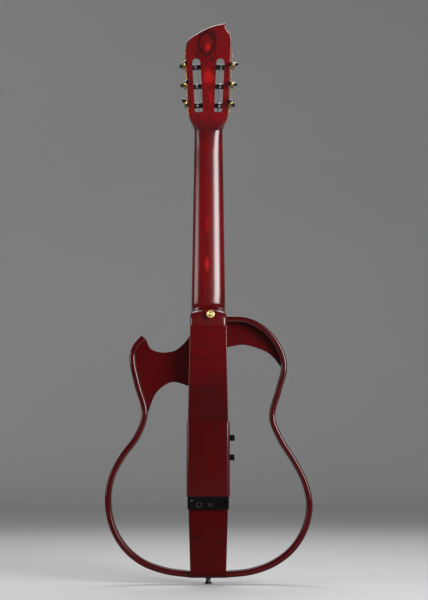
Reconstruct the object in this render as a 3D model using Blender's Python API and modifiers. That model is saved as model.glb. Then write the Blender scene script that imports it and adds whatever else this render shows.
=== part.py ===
"""A silent guitar with nylon strings.

A narrow centre block carries the neck, the bridge and the electronics, and thin
bent rims stand in for the sides of a full body. The strings face -Y, the back
faces +Y and the neck points up +Z. The treble side, with the cutaway, is at +X.
The origin is the middle of the end pin's outer face. Lengths are in metres.
"""
import math

import bmesh
import bpy
from mathutils import Matrix, Vector

# Clearances, and how far cutters and joined shapes run past the faces that they meet
FIT_GAP = 0.0003
BORE_GAP = 0.0006
STRING_TURN_GAP = 0.0006
CUT_PAST = 0.002
JOIN = 0.0004
WELD = 0.000005

# Heights, upwards from the end pin's face and then from the tail of the body
END_PIN_LENGTH = 0.012
LOWER_BLOCK_TOP = 0.122
PANEL_HEIGHT = 0.023
COVER_LENGTH = 0.132
SADDLE_HEIGHT_UP = 0.165
HEEL_SEAM = 0.450
HEEL_SIDE = 0.020
HEEL_HEIGHT = 0.030

# Depths, from the strings towards the back
BODY_FRONT = -0.017
LOWER_BACK = 0.027
UPPER_BACK = 0.046
COVER_BACK = 0.0485
PANEL_LOWER_BACK = 0.035
RIM_DEPTH = 0.030
WING_THICKNESS = 0.008

# Centre block
BLOCK_HALF_TAIL = 0.0315
BLOCK_HALF_LOWER = 0.0350
BLOCK_HALF_MIDDLE = 0.0363
BLOCK_HALF_TOP = 0.0325
BLOCK_EDGE_RADIUS = 0.005
HEEL_CREST_RADIUS = 0.014
TAIL_ROUND = 0.015
CAVITY_LEDGE_LOW = 0.004
CAVITY_LEDGE_HIGH = 0.007
CAVITY_FLOOR = 0.004

# Body outline: half widths, and their heights above the tail
LOWER_BOUT_TREBLE = 0.1858
LOWER_BOUT_BASS = 0.1876
WAIST_TREBLE = 0.1208
WAIST_BASS = 0.1210
UPPER_BOUT_TREBLE = 0.1432
UPPER_BOUT_BASS = 0.1429
HORN_TIP = 0.1215
LOWER_BOUT_UP_TREBLE = 0.1375
LOWER_BOUT_UP_BASS = 0.1273
WAIST_UP_TREBLE = 0.2951
WAIST_UP_BASS = 0.2872
UPPER_BOUT_UP_TREBLE = 0.3887
UPPER_BOUT_UP_BASS = 0.3766
HORN_TIP_UP = 0.4345
RIM_WIDTH = 0.011
RIM_EDGE_RADIUS = 0.004
RIM_STEPS = 3

# Bends of the rims between the foot, lower bout, waist, upper bout and end, each point as its
# shares of the way across and up to the next
TREBLE_BEND_SHARES = (
    ((0.298, 0.046), (0.579, 0.161), (0.808, 0.376), (0.952, 0.670)),
    ((0.104, 0.272), (0.410, 0.516), (0.804, 0.740)),
    ((0.562, 0.498),),
    ((0.245, 0.559),),
)
BASS_BEND_SHARES = (
    ((0.287, 0.038), (0.557, 0.153), (0.787, 0.362), (0.941, 0.658)),
    ((0.127, 0.269), (0.418, 0.515), (0.770, 0.748)),
    ((0.510, 0.500),),
    ((0.092, 0.418), (0.321, 0.754), (0.637, 0.968)),
)

# Edges of the two front plates, each point as its share of the way from block to rim, and its
# height above the tail
HORN_LOWER_EDGE = ((0, 0.343), (0.292, 0.3505), (0.498, 0.3455), (0.735, 0.3295), (0.93, 0.3065), (1, 0.292))
HORN_UPPER_EDGE = (
    (0.885, 0.4195), (0.750, 0.4104), (0.525, 0.4046), (0.269, 0.4093), (0.064, 0.429), (0, 0.443),
)
SHOULDER_LOWER_EDGE = ((0, 0.414), (0.325, 0.4187), (0.560, 0.415), (0.800, 0.405), (0.915, 0.392), (1, 0.378))

# Neck and fingerboard
SCALE_LENGTH = 0.650
NUT_WIDTH = 0.052
TWELFTH_WIDTH = 0.062
FINGERBOARD_THICKNESS = 0.006
FRET_COUNT = 19
FRET_WIDTH = 0.002
FRET_HEIGHT = 0.001
FRET_INSET = 0.0005
FINGERBOARD_TAIL = 0.009
NECK_DEPTH_NUT = 0.0165
NECK_DEPTH_HEEL = 0.0195
NECK_ROUNDNESS = 2.3
NUT_LENGTH = 0.005
TRUSS_ROD_WIDTH = 0.006
TRUSS_ROD_DEPTH = 0.009
TRUSS_ROD_FROM_NUT = 0.012
TRUSS_ROD_FROM_HEEL = 0.003

# Sweep of the neck into the heel: height over its top, and share of the heel's extra depth
HEEL_SWEEP = ((-0.008, 0.78), (0.001, 0.46), (0.004, 0.23), (0.008, 0.092), (0.014, 0.023))
# Blend of the neck into the head: drop below the joint, share of the head's depth, squareness
HEAD_BLEND = ((0.022, 0.55, 2.6), (0.010, 1.0, 2.8), (0.0, 1.0, 3.0))

# Headstock
HEAD_TILT = math.radians(15)
HEAD_TAPER = math.radians(3)
HEAD_THICKNESS = 0.018
HEAD_LENGTH = 0.194
HEAD_CORNER_UP = 0.145
HEAD_NOTCH_UP = 0.160
HEAD_TIP_ACROSS = 0.0309
HEADPLATE_THICKNESS = 0.002
HEAD_MIDDLE_UP = 0.0805
HEAD_LOW_UP = 0.026
HEAD_EDGE_RADIUS = 0.0025
# Scoops at the foot of the head, which carry on the neck's roundness: their edge on the back face,
# across and up from the nut, and their slopes, each with its distance out from that edge
HEAD_SCOOP_EDGE = ((0.0333, 0.0218), (0.0135, 0.0012))
HEAD_SCOOP_SLOPES = ((0.0, math.radians(28)), (0.006, math.radians(58)))
HEAD_SCOOP_REACH = 0.03
HEAD_RIB_HALF = 0.0123
SLOT_SPARE = 0.030
SLOT_WIDTH = 0.0153
SLOT_FOOT_CORNER = 0.003
SLOT_FOOT_SHORT = 0.002
CHEEK = 0.0111
SLOT_RAMP_LENGTH = 0.018
SLOT_RAMP_DEPTH = 0.0055

# Bends of the head's flare, crest and notch, as shares of the way across and up
FLARE_BEND_SHARES = (((0.228, 0.285), (0.493, 0.500), (0.787, 0.715)),)
CREST_BEND_SHARES = (((0.036, 0.280), (0.131, 0.469), (0.287, 0.624), (0.495, 0.792), (0.745, 0.935)),)
NOTCH_BEND_SHARES = (((0.160, 0.294), (0.580, 0.470), (0.847, 0.618)),)

# Tuners
TUNER_SPACING = 0.035
TUNER_MIDDLE_UP = -0.0015
ROLLER_RADIUS = 0.0048
ROLLER_TIP = 0.007
ROLLER_NECK_RADIUS = 0.0022
TUNER_PLATE_SPARE = 0.042
TUNER_PLATE_WIDTH = 0.0165
TUNER_PLATE_THICKNESS = 0.0016
GEAR_TEETH = 15
WORM_LEAD = 0.00201
WORM_PITCH_RADIUS = 0.0022
WORM_CORE_RADIUS = 0.0015
WORM_TURNS = 3
GEAR_ADDENDUM = 0.0004
GEAR_DEDENDUM = 0.0005
GEAR_WIDTH = 0.0022
GEAR_SCREW_RADIUS = 0.0030
GEAR_SCREW_HEIGHT = 0.0012
THREAD_ADDENDUM = 0.0003
THREAD_ROOT_HALF = 0.00052
THREAD_CREST_HALF = 0.00018
LUG_ROOM = 0.0008
LUG_THICKNESS = 0.0026
LUG_WIDTH = 0.0056
LUG_WALL = 0.0012
SHAFT_PAST = 0.0006
BUTTON_CLEARANCE = 0.003
BUTTON_WIDTH = 0.0200
BUTTON_THICKNESS = 0.0078
BUTTON_LENGTH = 0.0150
BUTTON_ROUNDNESS = 0.85
BUTTON_SCREW_RADIUS = 0.0024
BUTTON_SCREW_HEIGHT = 0.001

# Sections of a tuner button, as shares of its length, width and thickness
BUTTON_SECTION_SHARES = (
    (0.0, 0.34, 0.72), (0.10, 0.55, 0.90), (0.35, 0.94, 1.0),
    (0.60, 1.0, 1.0), (0.85, 0.84, 0.86), (1.0, 0.60, 0.60),
)

# String number and the lean of its tuner's button in degrees, lowest tuner first
TUNERS = {"treble": ((1, -50), (2, 38), (3, 40)), "bass": ((6, -45), (5, -10), (4, 5))}

# Strings, first to sixth
STRING_DIAMETERS = (0.00071, 0.00081, 0.00102, 0.00074, 0.00086, 0.00109)
NUT_SPREAD = 0.043
BRIDGE_SPREAD = 0.058
FIRST_FRET_CLEARANCE = 0.0005
TWELFTH_ACTION = 0.0050
WINDING_TURNS = 2.5
WINDING_POINTS = 14

# Bridge
BRIDGE_WIDTH = 0.076
BRIDGE_HEIGHT = 0.009
BRIDGE_VALLEY_HEIGHT = 0.004
BRIDGE_REAR_CHAMFER = 0.002
BRIDGE_FRONT_CHAMFER = 0.003
TIE_BLOCK_LENGTH = 0.011
BRIDGE_VALLEY_LENGTH = 0.007
SADDLE_CARRIER_LENGTH = 0.011
SADDLE_FORWARD = 0.001
SADDLE_THICKNESS = 0.003
SADDLE_WIDTH = 0.070
SADDLE_SLOT_FLOOR = 0.003
SADDLE_CHAMFER = 0.0015
SADDLE_CREST = 0.0008
PICKUP_THICKNESS = 0.001

# Electronics
COVER_HALF = 0.0385
COVER_WALL = 0.004
COVER_EDGE_RADIUS = 0.004
PANEL_HALF = 0.0368
PANEL_WALL = 0.0025
OUTPUT_JACK_X = 0.0161
OUTPUT_BORE_RADIUS = 0.00325
OUTPUT_JACK_WALL = 0.0022
OUTPUT_JACK_LENGTH = 0.018
PHONE_JACK_X = -0.004
PHONE_BORE_RADIUS = 0.0018
PHONE_JACK_WALL = 0.0017
PHONE_JACK_LENGTH = 0.012
JACK_RISE = -0.003
JACK_FLANGE = 0.0008
JACK_FLANGE_HEIGHT = 0.0012
JACK_END = 0.002
PANEL_SCREW_X = 0.0296
PANEL_SCREW_RISE = 0.005
SCREW_HEAD_RADIUS = 0.0024
SCREW_HEAD_HEIGHT = 0.0014
SCREW_SHANK_RADIUS = 0.0012
SCREW_LENGTH = 0.006
SWITCH_TRAVEL = 0.004
SWITCH_HALF = 0.0022
SWITCH_LENGTH = 0.004
SWITCH_PROUD = 0.002
SWITCH_FLANGE_HALF = 0.0030
SWITCH_FLANGE_THICKNESS = 0.0012
SWITCH_FLANGE_PAST = 0.0025
SWITCH_SIDE_ROOM = 0.0004
CELL_RADIUS = 0.00715
CELL_LENGTH = 0.050
CELL_NUB_RADIUS = 0.0025
CELL_NUB_HEIGHT = 0.001
CELL_ROOM = 0.004
BOARD_THICKNESS = 0.0016
BOARD_FEET = 0.004
BOARD_SIDE_ROOM = 0.001
BOARD_TOP_ROOM = 0.004
BOARD_FOOT_SIZE = 0.004
BOARD_FOOT_INSET = 0.005
POT_SIZE = 0.011
POT_DEPTH = 0.009
CHIP_WIDTH = 0.012
CHIP_LENGTH = 0.016
CHIP_HEIGHT = 0.002
KNOB_RADIUS = 0.0055
KNOB_LENGTH = 0.0115
KNOB_CHAMFER = 0.001
KNOB_SHAFT_RADIUS = 0.003
KNOB_BELOW_CAVITY_TOP = 0.021
KNOB_SPACING = 0.035
KNOB_Y = 0.015

# Strap fittings
PIN_SHANK_RADIUS = 0.0025
PIN_SHANK_LENGTH = 0.018
PIN_EDGE = 0.001
END_PIN_RADIUS = 0.0065
END_PIN_WAIST = 0.0042
END_PIN_FOOT = 0.0050
STRAP_SEAT = 0.0006
STRAP_BUTTON_RADIUS = 0.0075
STRAP_BUTTON_WAIST = 0.0040
STRAP_BUTTON_FOOT = 0.0055
STRAP_BUTTON_LENGTH = 0.012
STRAP_SHANK_LENGTH = 0.015
STRAP_BUTTON_X = -0.004
STRAP_BUTTON_TILT = math.radians(8)

# Colour, roughness and metallic value of each finish
FINISHES = {
    "red wood": ((0.36, 0.022, 0.025), 0.16, 0.0),
    "rosewood": ((0.06, 0.028, 0.018), 0.50, 0.0),
    "black plastic": ((0.012, 0.012, 0.013), 0.35, 0.0),
    "gold": ((0.80, 0.56, 0.22), 0.25, 1.0),
    "brass": ((0.72, 0.55, 0.25), 0.30, 1.0),
    "steel": ((0.60, 0.60, 0.62), 0.35, 1.0),
    "bone": ((0.85, 0.80, 0.68), 0.40, 0.0),
    "nylon": ((0.85, 0.85, 0.82), 0.25, 0.0),
    "silvered winding": ((0.70, 0.68, 0.64), 0.30, 1.0),
    "circuit board": ((0.02, 0.12, 0.05), 0.45, 0.0),
    "cell sleeve": ((0.05, 0.07, 0.10), 0.40, 0.0),
}


def up(height):
    """World height of a point measured above the tail of the body."""
    return END_PIN_LENGTH + height


# Body sizes that follow from the others
COVER_BOTTOM = LOWER_BLOCK_TOP + PANEL_HEIGHT
COVER_TOP = COVER_BOTTOM + COVER_LENGTH
CAVITY_BOTTOM = LOWER_BLOCK_TOP + CAVITY_LEDGE_LOW
CAVITY_TOP = COVER_TOP - CAVITY_LEDGE_HIGH
CAVITY_HALF = CELL_LENGTH / 2 + CELL_ROOM
VOLUME_KNOB_UP = CAVITY_TOP - KNOB_BELOW_CAVITY_TOP
EFFECT_KNOB_UP = VOLUME_KNOB_UP - KNOB_SPACING
HEEL_SHOULDER = HEEL_SEAM + HEEL_SIDE
HEEL_TOP = HEEL_SEAM + HEEL_HEIGHT
COVER_TILT = math.atan2(COVER_BACK - PANEL_LOWER_BACK, PANEL_HEIGHT)
POT_FACE = FIT_GAP - CAVITY_HALF
SWITCH_X = PANEL_WALL + SWITCH_SIDE_ROOM + SWITCH_FLANGE_HALF - PANEL_HALF

# Neck, string and bridge sizes that follow from the others
SADDLE_Z = up(SADDLE_HEIGHT_UP)
NUT_Z = SADDLE_Z + SCALE_LENGTH
HEAD_BASE_Z = NUT_Z + NUT_LENGTH
BOARD_FACE = BODY_FRONT - FINGERBOARD_THICKNESS
FRET_TOP = BOARD_FACE - FRET_HEIGHT
NUT_STRING_Y = FRET_TOP - FIRST_FRET_CLEARANCE - max(STRING_DIAMETERS) / 2
SADDLE_STRING_Y = 2 * (BOARD_FACE - TWELFTH_ACTION) - NUT_STRING_Y
TIE_HOLE_HEIGHT = (BRIDGE_HEIGHT + BRIDGE_VALLEY_HEIGHT) / 2

# Head and tuner sizes that follow from the others
HEAD_BASE_HALF = NUT_WIDTH / 2
HEAD_HALF = HEAD_RIB_HALF + SLOT_WIDTH + CHEEK
SLOT_LENGTH = 2 * TUNER_SPACING + SLOT_SPARE
SLOT_IN = CHEEK + SLOT_WIDTH / 2
TUNER_PLATE_LENGTH = 2 * TUNER_SPACING + TUNER_PLATE_SPARE
GEAR_PITCH_RADIUS = WORM_LEAD * GEAR_TEETH / (2 * math.pi)
WORM_OFFSET = GEAR_PITCH_RADIUS + WORM_PITCH_RADIUS
WORM_OUTER_RADIUS = WORM_PITCH_RADIUS + THREAD_ADDENDUM
PLATE_OUT = FIT_GAP + TUNER_PLATE_THICKNESS
WORM_OUT = PLATE_OUT + WORM_OUTER_RADIUS + FIT_GAP
LUG_OUT = WORM_OUT + WORM_CORE_RADIUS + LUG_WALL
LUG_START = WORM_TURNS / 2 * WORM_LEAD + LUG_ROOM
LUG_END = LUG_START + LUG_THICKNESS
ROLLER_N = HEAD_THICKNESS / 2
ROLLER_REACH = CHEEK + SLOT_WIDTH + ROLLER_TIP
BUTTON_START = HEAD_THICKNESS + BUTTON_CLEARANCE - ROLLER_N

# Frames of the tilted head and of the sloping jack panel
HEAD_FRAME = Matrix.Translation((0, BODY_FRONT, HEAD_BASE_Z)) @ Matrix.Rotation(-HEAD_TILT, 4, "X")
PANEL_FRAME = Matrix.Translation((
    0, (COVER_BACK + PANEL_LOWER_BACK) / 2, up(LOWER_BLOCK_TOP + PANEL_HEIGHT / 2),
)) @ Matrix.Rotation(-COVER_TILT, 4, "X")

for old in list(bpy.data.objects):
    bpy.data.objects.remove(old, do_unlink=True)

PARTS = bpy.data.collections.new("silent_guitar")
CUTTERS = bpy.data.collections.new("cutters")
for group in (PARTS, CUTTERS):
    bpy.context.scene.collection.children.link(group)


def between(low, high, share):
    return low + (high - low) * share


def smooth_path(points, steps):
    """Points on a smooth curve through the given points, with steps points a span."""
    points = [Vector(point) for point in points]
    ends = [2 * points[0] - points[1]] + points + [2 * points[-1] - points[-2]]
    path = []
    for before, start, end, after in zip(ends, ends[1:], ends[2:], ends[3:]):
        leave = (end - before) / 2
        arrive = (after - start) / 2
        for step in range(steps):
            t = step / steps
            path.append(
                start * (2 * t**3 - 3 * t**2 + 1) + leave * (t**3 - 2 * t**2 + t)
                + end * (3 * t**2 - 2 * t**3) + arrive * (t**3 - t**2)
            )
    path.append(points[-1])
    return path


def bent_path(keys, bends, steps):
    """A smooth path through key points, with the bends between each two of them."""
    points = []
    for start, end, bend in zip(keys, keys[1:], bends):
        points.append(start)
        for across, rise in bend:
            points.append((between(start[0], end[0], across), between(start[1], end[1], rise)))
    return smooth_path(points + [keys[-1]], steps)


def offset_path(path, distance):
    """The path moved sideways, to its left, by the distance."""
    moved = []
    for index, point in enumerate(path):
        ahead = path[min(index + 1, len(path) - 1)] - path[max(index - 1, 0)]
        moved.append(point + Vector((-ahead.y, ahead.x)).normalized() * distance)
    return moved


def across_at(path, height):
    """Where a rising path crosses a height, or its upper end where it stops lower."""
    for low, high in zip(path, path[1:]):
        if low.y <= height <= high.y:
            return between(low.x, high.x, (height - low.y) / (high.y - low.y))
    return path[-1].x


def paint(obj, finish):
    colour, roughness, metallic = FINISHES[finish]
    material = bpy.data.materials.new(obj.name)
    material.use_nodes = True
    shader = material.node_tree.nodes["Principled BSDF"]
    shader.inputs["Base Color"].default_value = (*colour, 1)
    shader.inputs["Roughness"].default_value = roughness
    shader.inputs["Metallic"].default_value = metallic
    obj.data.materials.clear()
    obj.data.materials.append(material)


def add_object(name, mesh, finish=None, parent=None, matrix=None):
    """Links a mesh as a part, or as a cutter when it has no finish."""
    obj = bpy.data.objects.new(name, mesh)
    if finish:
        PARTS.objects.link(obj)
        paint(obj, finish)
    else:
        CUTTERS.objects.link(obj)
        obj.hide_render = True
        obj.display_type = "WIRE"
    obj.parent = parent
    if matrix:
        obj.matrix_basis = matrix
    return obj


def add_empty(name, matrix, parent=None):
    empty = bpy.data.objects.new(name, None)
    PARTS.objects.link(empty)
    empty.parent = parent
    empty.matrix_basis = matrix
    return empty


def mesh_from(name, build):
    """A mesh made by a function that fills a bmesh."""
    shape = bmesh.new()
    build(shape)
    bmesh.ops.recalc_face_normals(shape, faces=shape.faces)
    mesh = bpy.data.meshes.new(name)
    shape.to_mesh(mesh)
    shape.free()
    return mesh


def box_mesh(name, *boxes):
    """Boxes, each given by its low and high corner."""
    def build(shape):
        for low, high in boxes:
            low, high = Vector(low), Vector(high)
            size = Matrix.Diagonal((*(high - low), 1))
            bmesh.ops.create_cube(shape, size=1, matrix=Matrix.Translation((low + high) / 2) @ size)
    return mesh_from(name, build)


def rod_mesh(name, radius, start, end, segments=12):
    """A cylinder between two points."""
    start, end = Vector(start), Vector(end)
    turn = (end - start).to_track_quat("Z", "Y").to_matrix().to_4x4()
    place = Matrix.Translation((start + end) / 2) @ turn

    def build(shape):
        bmesh.ops.create_cone(
            shape, cap_ends=True, segments=segments, radius1=radius, radius2=radius,
            depth=(end - start).length, matrix=place,
        )
    return mesh_from(name, build)


def joined_mesh(name, meshes):
    def build(shape):
        for mesh in meshes:
            shape.from_mesh(mesh)
    return mesh_from(name, build)


def curve_mesh(curve, matrix):
    """The closed mesh of a curve, with its caps welded on."""
    holder = bpy.data.objects.new(curve.name, curve)
    bpy.context.scene.collection.objects.link(holder)
    evaluated = holder.evaluated_get(bpy.context.evaluated_depsgraph_get())
    mesh = bpy.data.meshes.new_from_object(evaluated)
    bpy.data.objects.remove(holder, do_unlink=True)
    shape = bmesh.new()
    shape.from_mesh(mesh)
    bmesh.ops.remove_doubles(shape, verts=shape.verts, dist=WELD)
    bmesh.ops.transform(shape, matrix=matrix, verts=shape.verts)
    bmesh.ops.recalc_face_normals(shape, faces=shape.faces)
    shape.to_mesh(mesh)
    shape.free()
    return mesh


def outline_mesh(name, outlines, thickness, matrix):
    """A flat piece from closed outlines, thick on both sides of their plane."""
    curve = bpy.data.curves.new(name, "CURVE")
    curve.dimensions = "2D"
    curve.fill_mode = "BOTH"
    curve.extrude = thickness / 2
    for outline in outlines:
        spline = curve.splines.new("POLY")
        spline.points.add(len(outline) - 1)
        for point, (across, along) in zip(spline.points, outline):
            point.co = (across, along, 0, 1)
        spline.use_cyclic_u = True
    return curve_mesh(curve, matrix)


def plate_mesh(name, outlines, front, back):
    """A piece cut to outlines in X and Z, between two depths."""
    place = Matrix.Translation((0, (front + back) / 2, 0)) @ Matrix.Rotation(math.pi / 2, 4, "X")
    return outline_mesh(name, outlines, back - front, place)


def profile_mesh(name, outlines, half_width, middle=0):
    """A piece cut to outlines in Y and Z, along X."""
    turn = Matrix(((0, 0, 1, middle), (1, 0, 0, 0), (0, 1, 0, 0), (0, 0, 0, 1)))
    return outline_mesh(name, outlines, 2 * half_width, turn)


def tube_mesh(name, path, radius):
    """A round tube along the path."""
    curve = bpy.data.curves.new(name, "CURVE")
    curve.dimensions = "3D"
    curve.bevel_depth = radius
    curve.bevel_resolution = 1
    curve.use_fill_caps = True
    spline = curve.splines.new("POLY")
    spline.points.add(len(path) - 1)
    for point, place in zip(spline.points, path):
        point.co = (*place, 1)
    return curve_mesh(curve, Matrix.Identity(4))


def loft_mesh(name, rings):
    """A solid through rings that have the same number of points."""
    def build(shape):
        rows = [[shape.verts.new(point) for point in ring] for ring in rings]
        for row, after in zip(rows, rows[1:]):
            for index in range(len(row)):
                other = (index + 1) % len(row)
                shape.faces.new((row[index], row[other], after[other], after[index]))
        shape.faces.new(rows[0])
        shape.faces.new(rows[-1])
    return mesh_from(name, build)


def turned(name, profile, finish, matrix, parent=None, segments=16):
    """A turned piece about its local Z, from radius and height pairs, top to bottom."""
    mesh = bpy.data.meshes.new(name)
    corners = [(radius, 0, height) for radius, height in profile]
    mesh.from_pydata(corners, [(index, index + 1) for index in range(len(corners) - 1)], [])
    obj = add_object(name, mesh, finish, parent, matrix)
    screw = obj.modifiers.new("turn", "SCREW")
    screw.steps = segments
    screw.render_steps = segments
    screw.use_merge_vertices = True
    screw.merge_threshold = WELD
    screw.use_smooth_shade = False
    return obj


def combine(obj, other, operation="DIFFERENCE"):
    """Cuts another object out of this one, or joins it on."""
    boolean = obj.modifiers.new(operation.lower(), "BOOLEAN")
    boolean.operation = operation
    boolean.solver = "EXACT"
    boolean.object = other


def round_edges(obj, radius, segments, chosen=lambda low, high: True):
    """Rounds the sharp edges that the test picks from the two ends of each."""
    shape = bmesh.new()
    shape.from_mesh(obj.data)
    weights = shape.edges.layers.float.new("bevel_weight_edge")
    for edge in shape.edges:
        low, high = (corner.co for corner in edge.verts)
        sharp = edge.calc_face_angle(0) > math.radians(40)
        edge[weights] = 1.0 if sharp and chosen(low, high) else 0.0
    shape.to_mesh(obj.data)
    shape.free()
    bevel = obj.modifiers.new("rounded edges", "BEVEL")
    bevel.width = radius
    bevel.segments = segments
    bevel.limit_method = "WEIGHT"


def shade(obj):
    obj.data.shade_smooth()
    obj.data.set_sharp_from_angle(angle=math.radians(35))


def block_half(height):
    """Half the width of the centre block at a height above the tail."""
    stations = (
        (0.0, BLOCK_HALF_TAIL), (LOWER_BLOCK_TOP, BLOCK_HALF_LOWER),
        (COVER_TOP, BLOCK_HALF_MIDDLE), (HEEL_SEAM, BLOCK_HALF_TOP), (1.0, BLOCK_HALF_TOP),
    )
    for (low, low_half), (high, high_half) in zip(stations, stations[1:]):
        if height <= high:
            return between(low_half, high_half, (height - low) / (high - low))
    return BLOCK_HALF_TOP


def rim_outline(side):
    """The outer edge of one rim, from the tail up, in X and Z."""
    foot = (block_half(RIM_WIDTH) + FIT_GAP, up(0))
    if side > 0:
        keys = (
            foot, (LOWER_BOUT_TREBLE, up(LOWER_BOUT_UP_TREBLE)), (WAIST_TREBLE, up(WAIST_UP_TREBLE)),
            (UPPER_BOUT_TREBLE, up(UPPER_BOUT_UP_TREBLE)), (HORN_TIP, up(HORN_TIP_UP)),
        )
        return bent_path(keys, TREBLE_BEND_SHARES, RIM_STEPS)
    keys = (
        foot, (LOWER_BOUT_BASS, up(LOWER_BOUT_UP_BASS)), (WAIST_BASS, up(WAIST_UP_BASS)),
        (UPPER_BOUT_BASS, up(UPPER_BOUT_UP_BASS)), (BLOCK_HALF_TOP + FIT_GAP, up(HEEL_SHOULDER)),
    )
    return bent_path(keys, BASS_BEND_SHARES, RIM_STEPS)


def mirrored(path, side):
    return [(side * point[0], point[1]) for point in path]


def rim_inside(outer, side, distance):
    """The inner edge of a rim, square to the block where it meets it."""
    inner = offset_path(outer, distance)
    inner[0].x = outer[0].x
    if side < 0:
        inner[-1].x = outer[-1].x
    return inner


def make_rim(name, side):
    outer = rim_outline(side)
    inner = rim_inside(outer, side, RIM_WIDTH)
    outline = mirrored(outer + inner[::-1], side)
    rim = add_object(name, plate_mesh(name, [outline], BODY_FRONT, BODY_FRONT + RIM_DEPTH), "red wood")
    joints = [(outer[0] + inner[0]) / 2]
    if side < 0:
        joints.append((outer[-1] + inner[-1]) / 2)

    def on_long_edge(low, high):
        middle = (low + high) / 2
        at_joint = any((Vector((side * middle.x, middle.z)) - joint).length < 0.001 for joint in joints)
        return abs(low.y - high.y) < 1e-6 and not at_joint
    round_edges(rim, RIM_EDGE_RADIUS, 2, on_long_edge)
    shade(rim)


def make_wing(name, side, lower_edge, upper_edge):
    """A plate at the front, between the centre block and the rim."""
    rim = rim_inside(rim_outline(side), side, RIM_WIDTH + FIT_GAP)

    def edge(points):
        places = []
        for share, height in points:
            beside_block = block_half(height) + FIT_GAP
            places.append((between(beside_block, across_at(rim, up(height)), share), up(height)))
        return smooth_path(places, 3) if places else []
    lower = edge(lower_edge)
    along_rim = [point for point in rim if point.y > lower[-1].y + JOIN]
    outline = mirrored(lower + along_rim + edge(upper_edge), side)
    mesh = plate_mesh(name, [outline], BODY_FRONT, BODY_FRONT + WING_THICKNESS)
    shade(add_object(name, mesh, "red wood"))


def block_profile():
    """The side view of the centre block, as depth and height above the tail."""
    tail = [
        (LOWER_BACK - TAIL_ROUND * (1 - math.sin(angle)), TAIL_ROUND * (1 - math.cos(angle)))
        for angle in (math.radians(degrees) for degrees in (0, 22.5, 45, 67.5, 90))
    ]
    seam = HEEL_SEAM - FIT_GAP
    lower = [(LOWER_BACK, height) for height in (LOWER_BLOCK_TOP / 2, LOWER_BLOCK_TOP, COVER_TOP)]
    upper = [(UPPER_BACK, between(COVER_TOP, seam, share)) for share in (0, 0.33, 0.67, 1)]
    front = [(BODY_FRONT, seam * share) for share in (1, 0.82, 0.6, 0.26, 0.12, 0)]
    return tail + lower + upper + front


def make_centre_block():
    outline = [(depth, up(height)) for depth, height in block_profile()]
    mesh = profile_mesh("center_block", [outline], 1)
    for corner in mesh.vertices:
        corner.co.x = math.copysign(block_half(corner.co.z - END_PIN_LENGTH), corner.co.x)
    block = add_object("center_block", mesh, "red wood")

    def on_back_edge(low, high):
        same_side = low.x * high.x > 0
        along = abs(low.z - high.z) > 1e-5 or abs(low.z - up(0)) < 1e-5
        return same_side and along and max(low.y, high.y) > BODY_FRONT + 1e-4
    round_edges(block, BLOCK_EDGE_RADIUS, 3, on_back_edge)
    cavity = box_mesh("cavity_cutter", (
        (-CAVITY_HALF, CAVITY_FLOOR, up(CAVITY_BOTTOM)), (CAVITY_HALF, UPPER_BACK, up(CAVITY_TOP)),
    ))
    combine(block, add_object("cavity_cutter", cavity))
    holes = [
        rod_mesh(
            "knob_hole", KNOB_SHAFT_RADIUS + FIT_GAP,
            (-block_half(height) - CUT_PAST, KNOB_Y, up(height)), (CUT_PAST - CAVITY_HALF, KNOB_Y, up(height)),
        )
        for height in (VOLUME_KNOB_UP, EFFECT_KNOB_UP)
    ]
    pin_end = up(PIN_SHANK_LENGTH) + FIT_GAP
    holes.append(rod_mesh("pin_hole", PIN_SHANK_RADIUS + BORE_GAP, (0, 0, up(-CUT_PAST)), (0, 0, pin_end)))
    combine(block, add_object("block_holes", joined_mesh("block_holes", holes)))
    shade(block)


def board_half(height):
    """Half the width of the fingerboard at a world height."""
    return between(NUT_WIDTH / 2, TWELFTH_WIDTH / 2, (NUT_Z - height) / (SCALE_LENGTH / 2))


def neck_ring(height_at, half, depth, roundness):
    """A section of the neck: flat in front, round behind."""
    ring = []
    for step in range(13):
        angle = math.pi * step / 12
        across = math.copysign(abs(math.cos(angle)) ** (2 / roundness), math.cos(angle))
        y = BODY_FRONT + depth * math.sin(angle) ** (2 / roundness)
        ring.append((half * across, y, height_at(y)))
    return ring


def head_plane(y):
    """Height of the joint between neck and headstock at a depth."""
    return HEAD_BASE_Z - (y - BODY_FRONT) * math.tan(HEAD_TILT) - FIT_GAP


def rounding(depth, radius):
    """How far a rounded edge has drawn in at a depth below its face."""
    return radius - math.sqrt(radius**2 - max(radius - depth, 0) ** 2)


def heel_rings():
    """Outlines of the heel from its front to its back, drawn in at the rounded edges."""
    rings = []
    depths = [BLOCK_EDGE_RADIUS * (1 - math.sin(math.radians(degrees))) for degrees in (0, 30, 60, 90)]
    for depth in (UPPER_BACK - BODY_FRONT, HEEL_CREST_RADIUS, HEEL_CREST_RADIUS * 0.62, *depths):
        half = BLOCK_HALF_TOP - rounding(depth, BLOCK_EDGE_RADIUS)
        drop = rounding(depth, HEEL_CREST_RADIUS)
        y = UPPER_BACK - depth
        ring = [(half, y, up(HEEL_SEAM))]
        for step in range(13):
            angle = math.pi * step / 12
            rise = between(up(HEEL_SHOULDER), up(HEEL_TOP), math.sin(angle)) - drop
            ring.append((half * math.cos(angle), y, rise))
        ring.append((-half, y, up(HEEL_SEAM)))
        rings.append(ring)
    return rings


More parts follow.
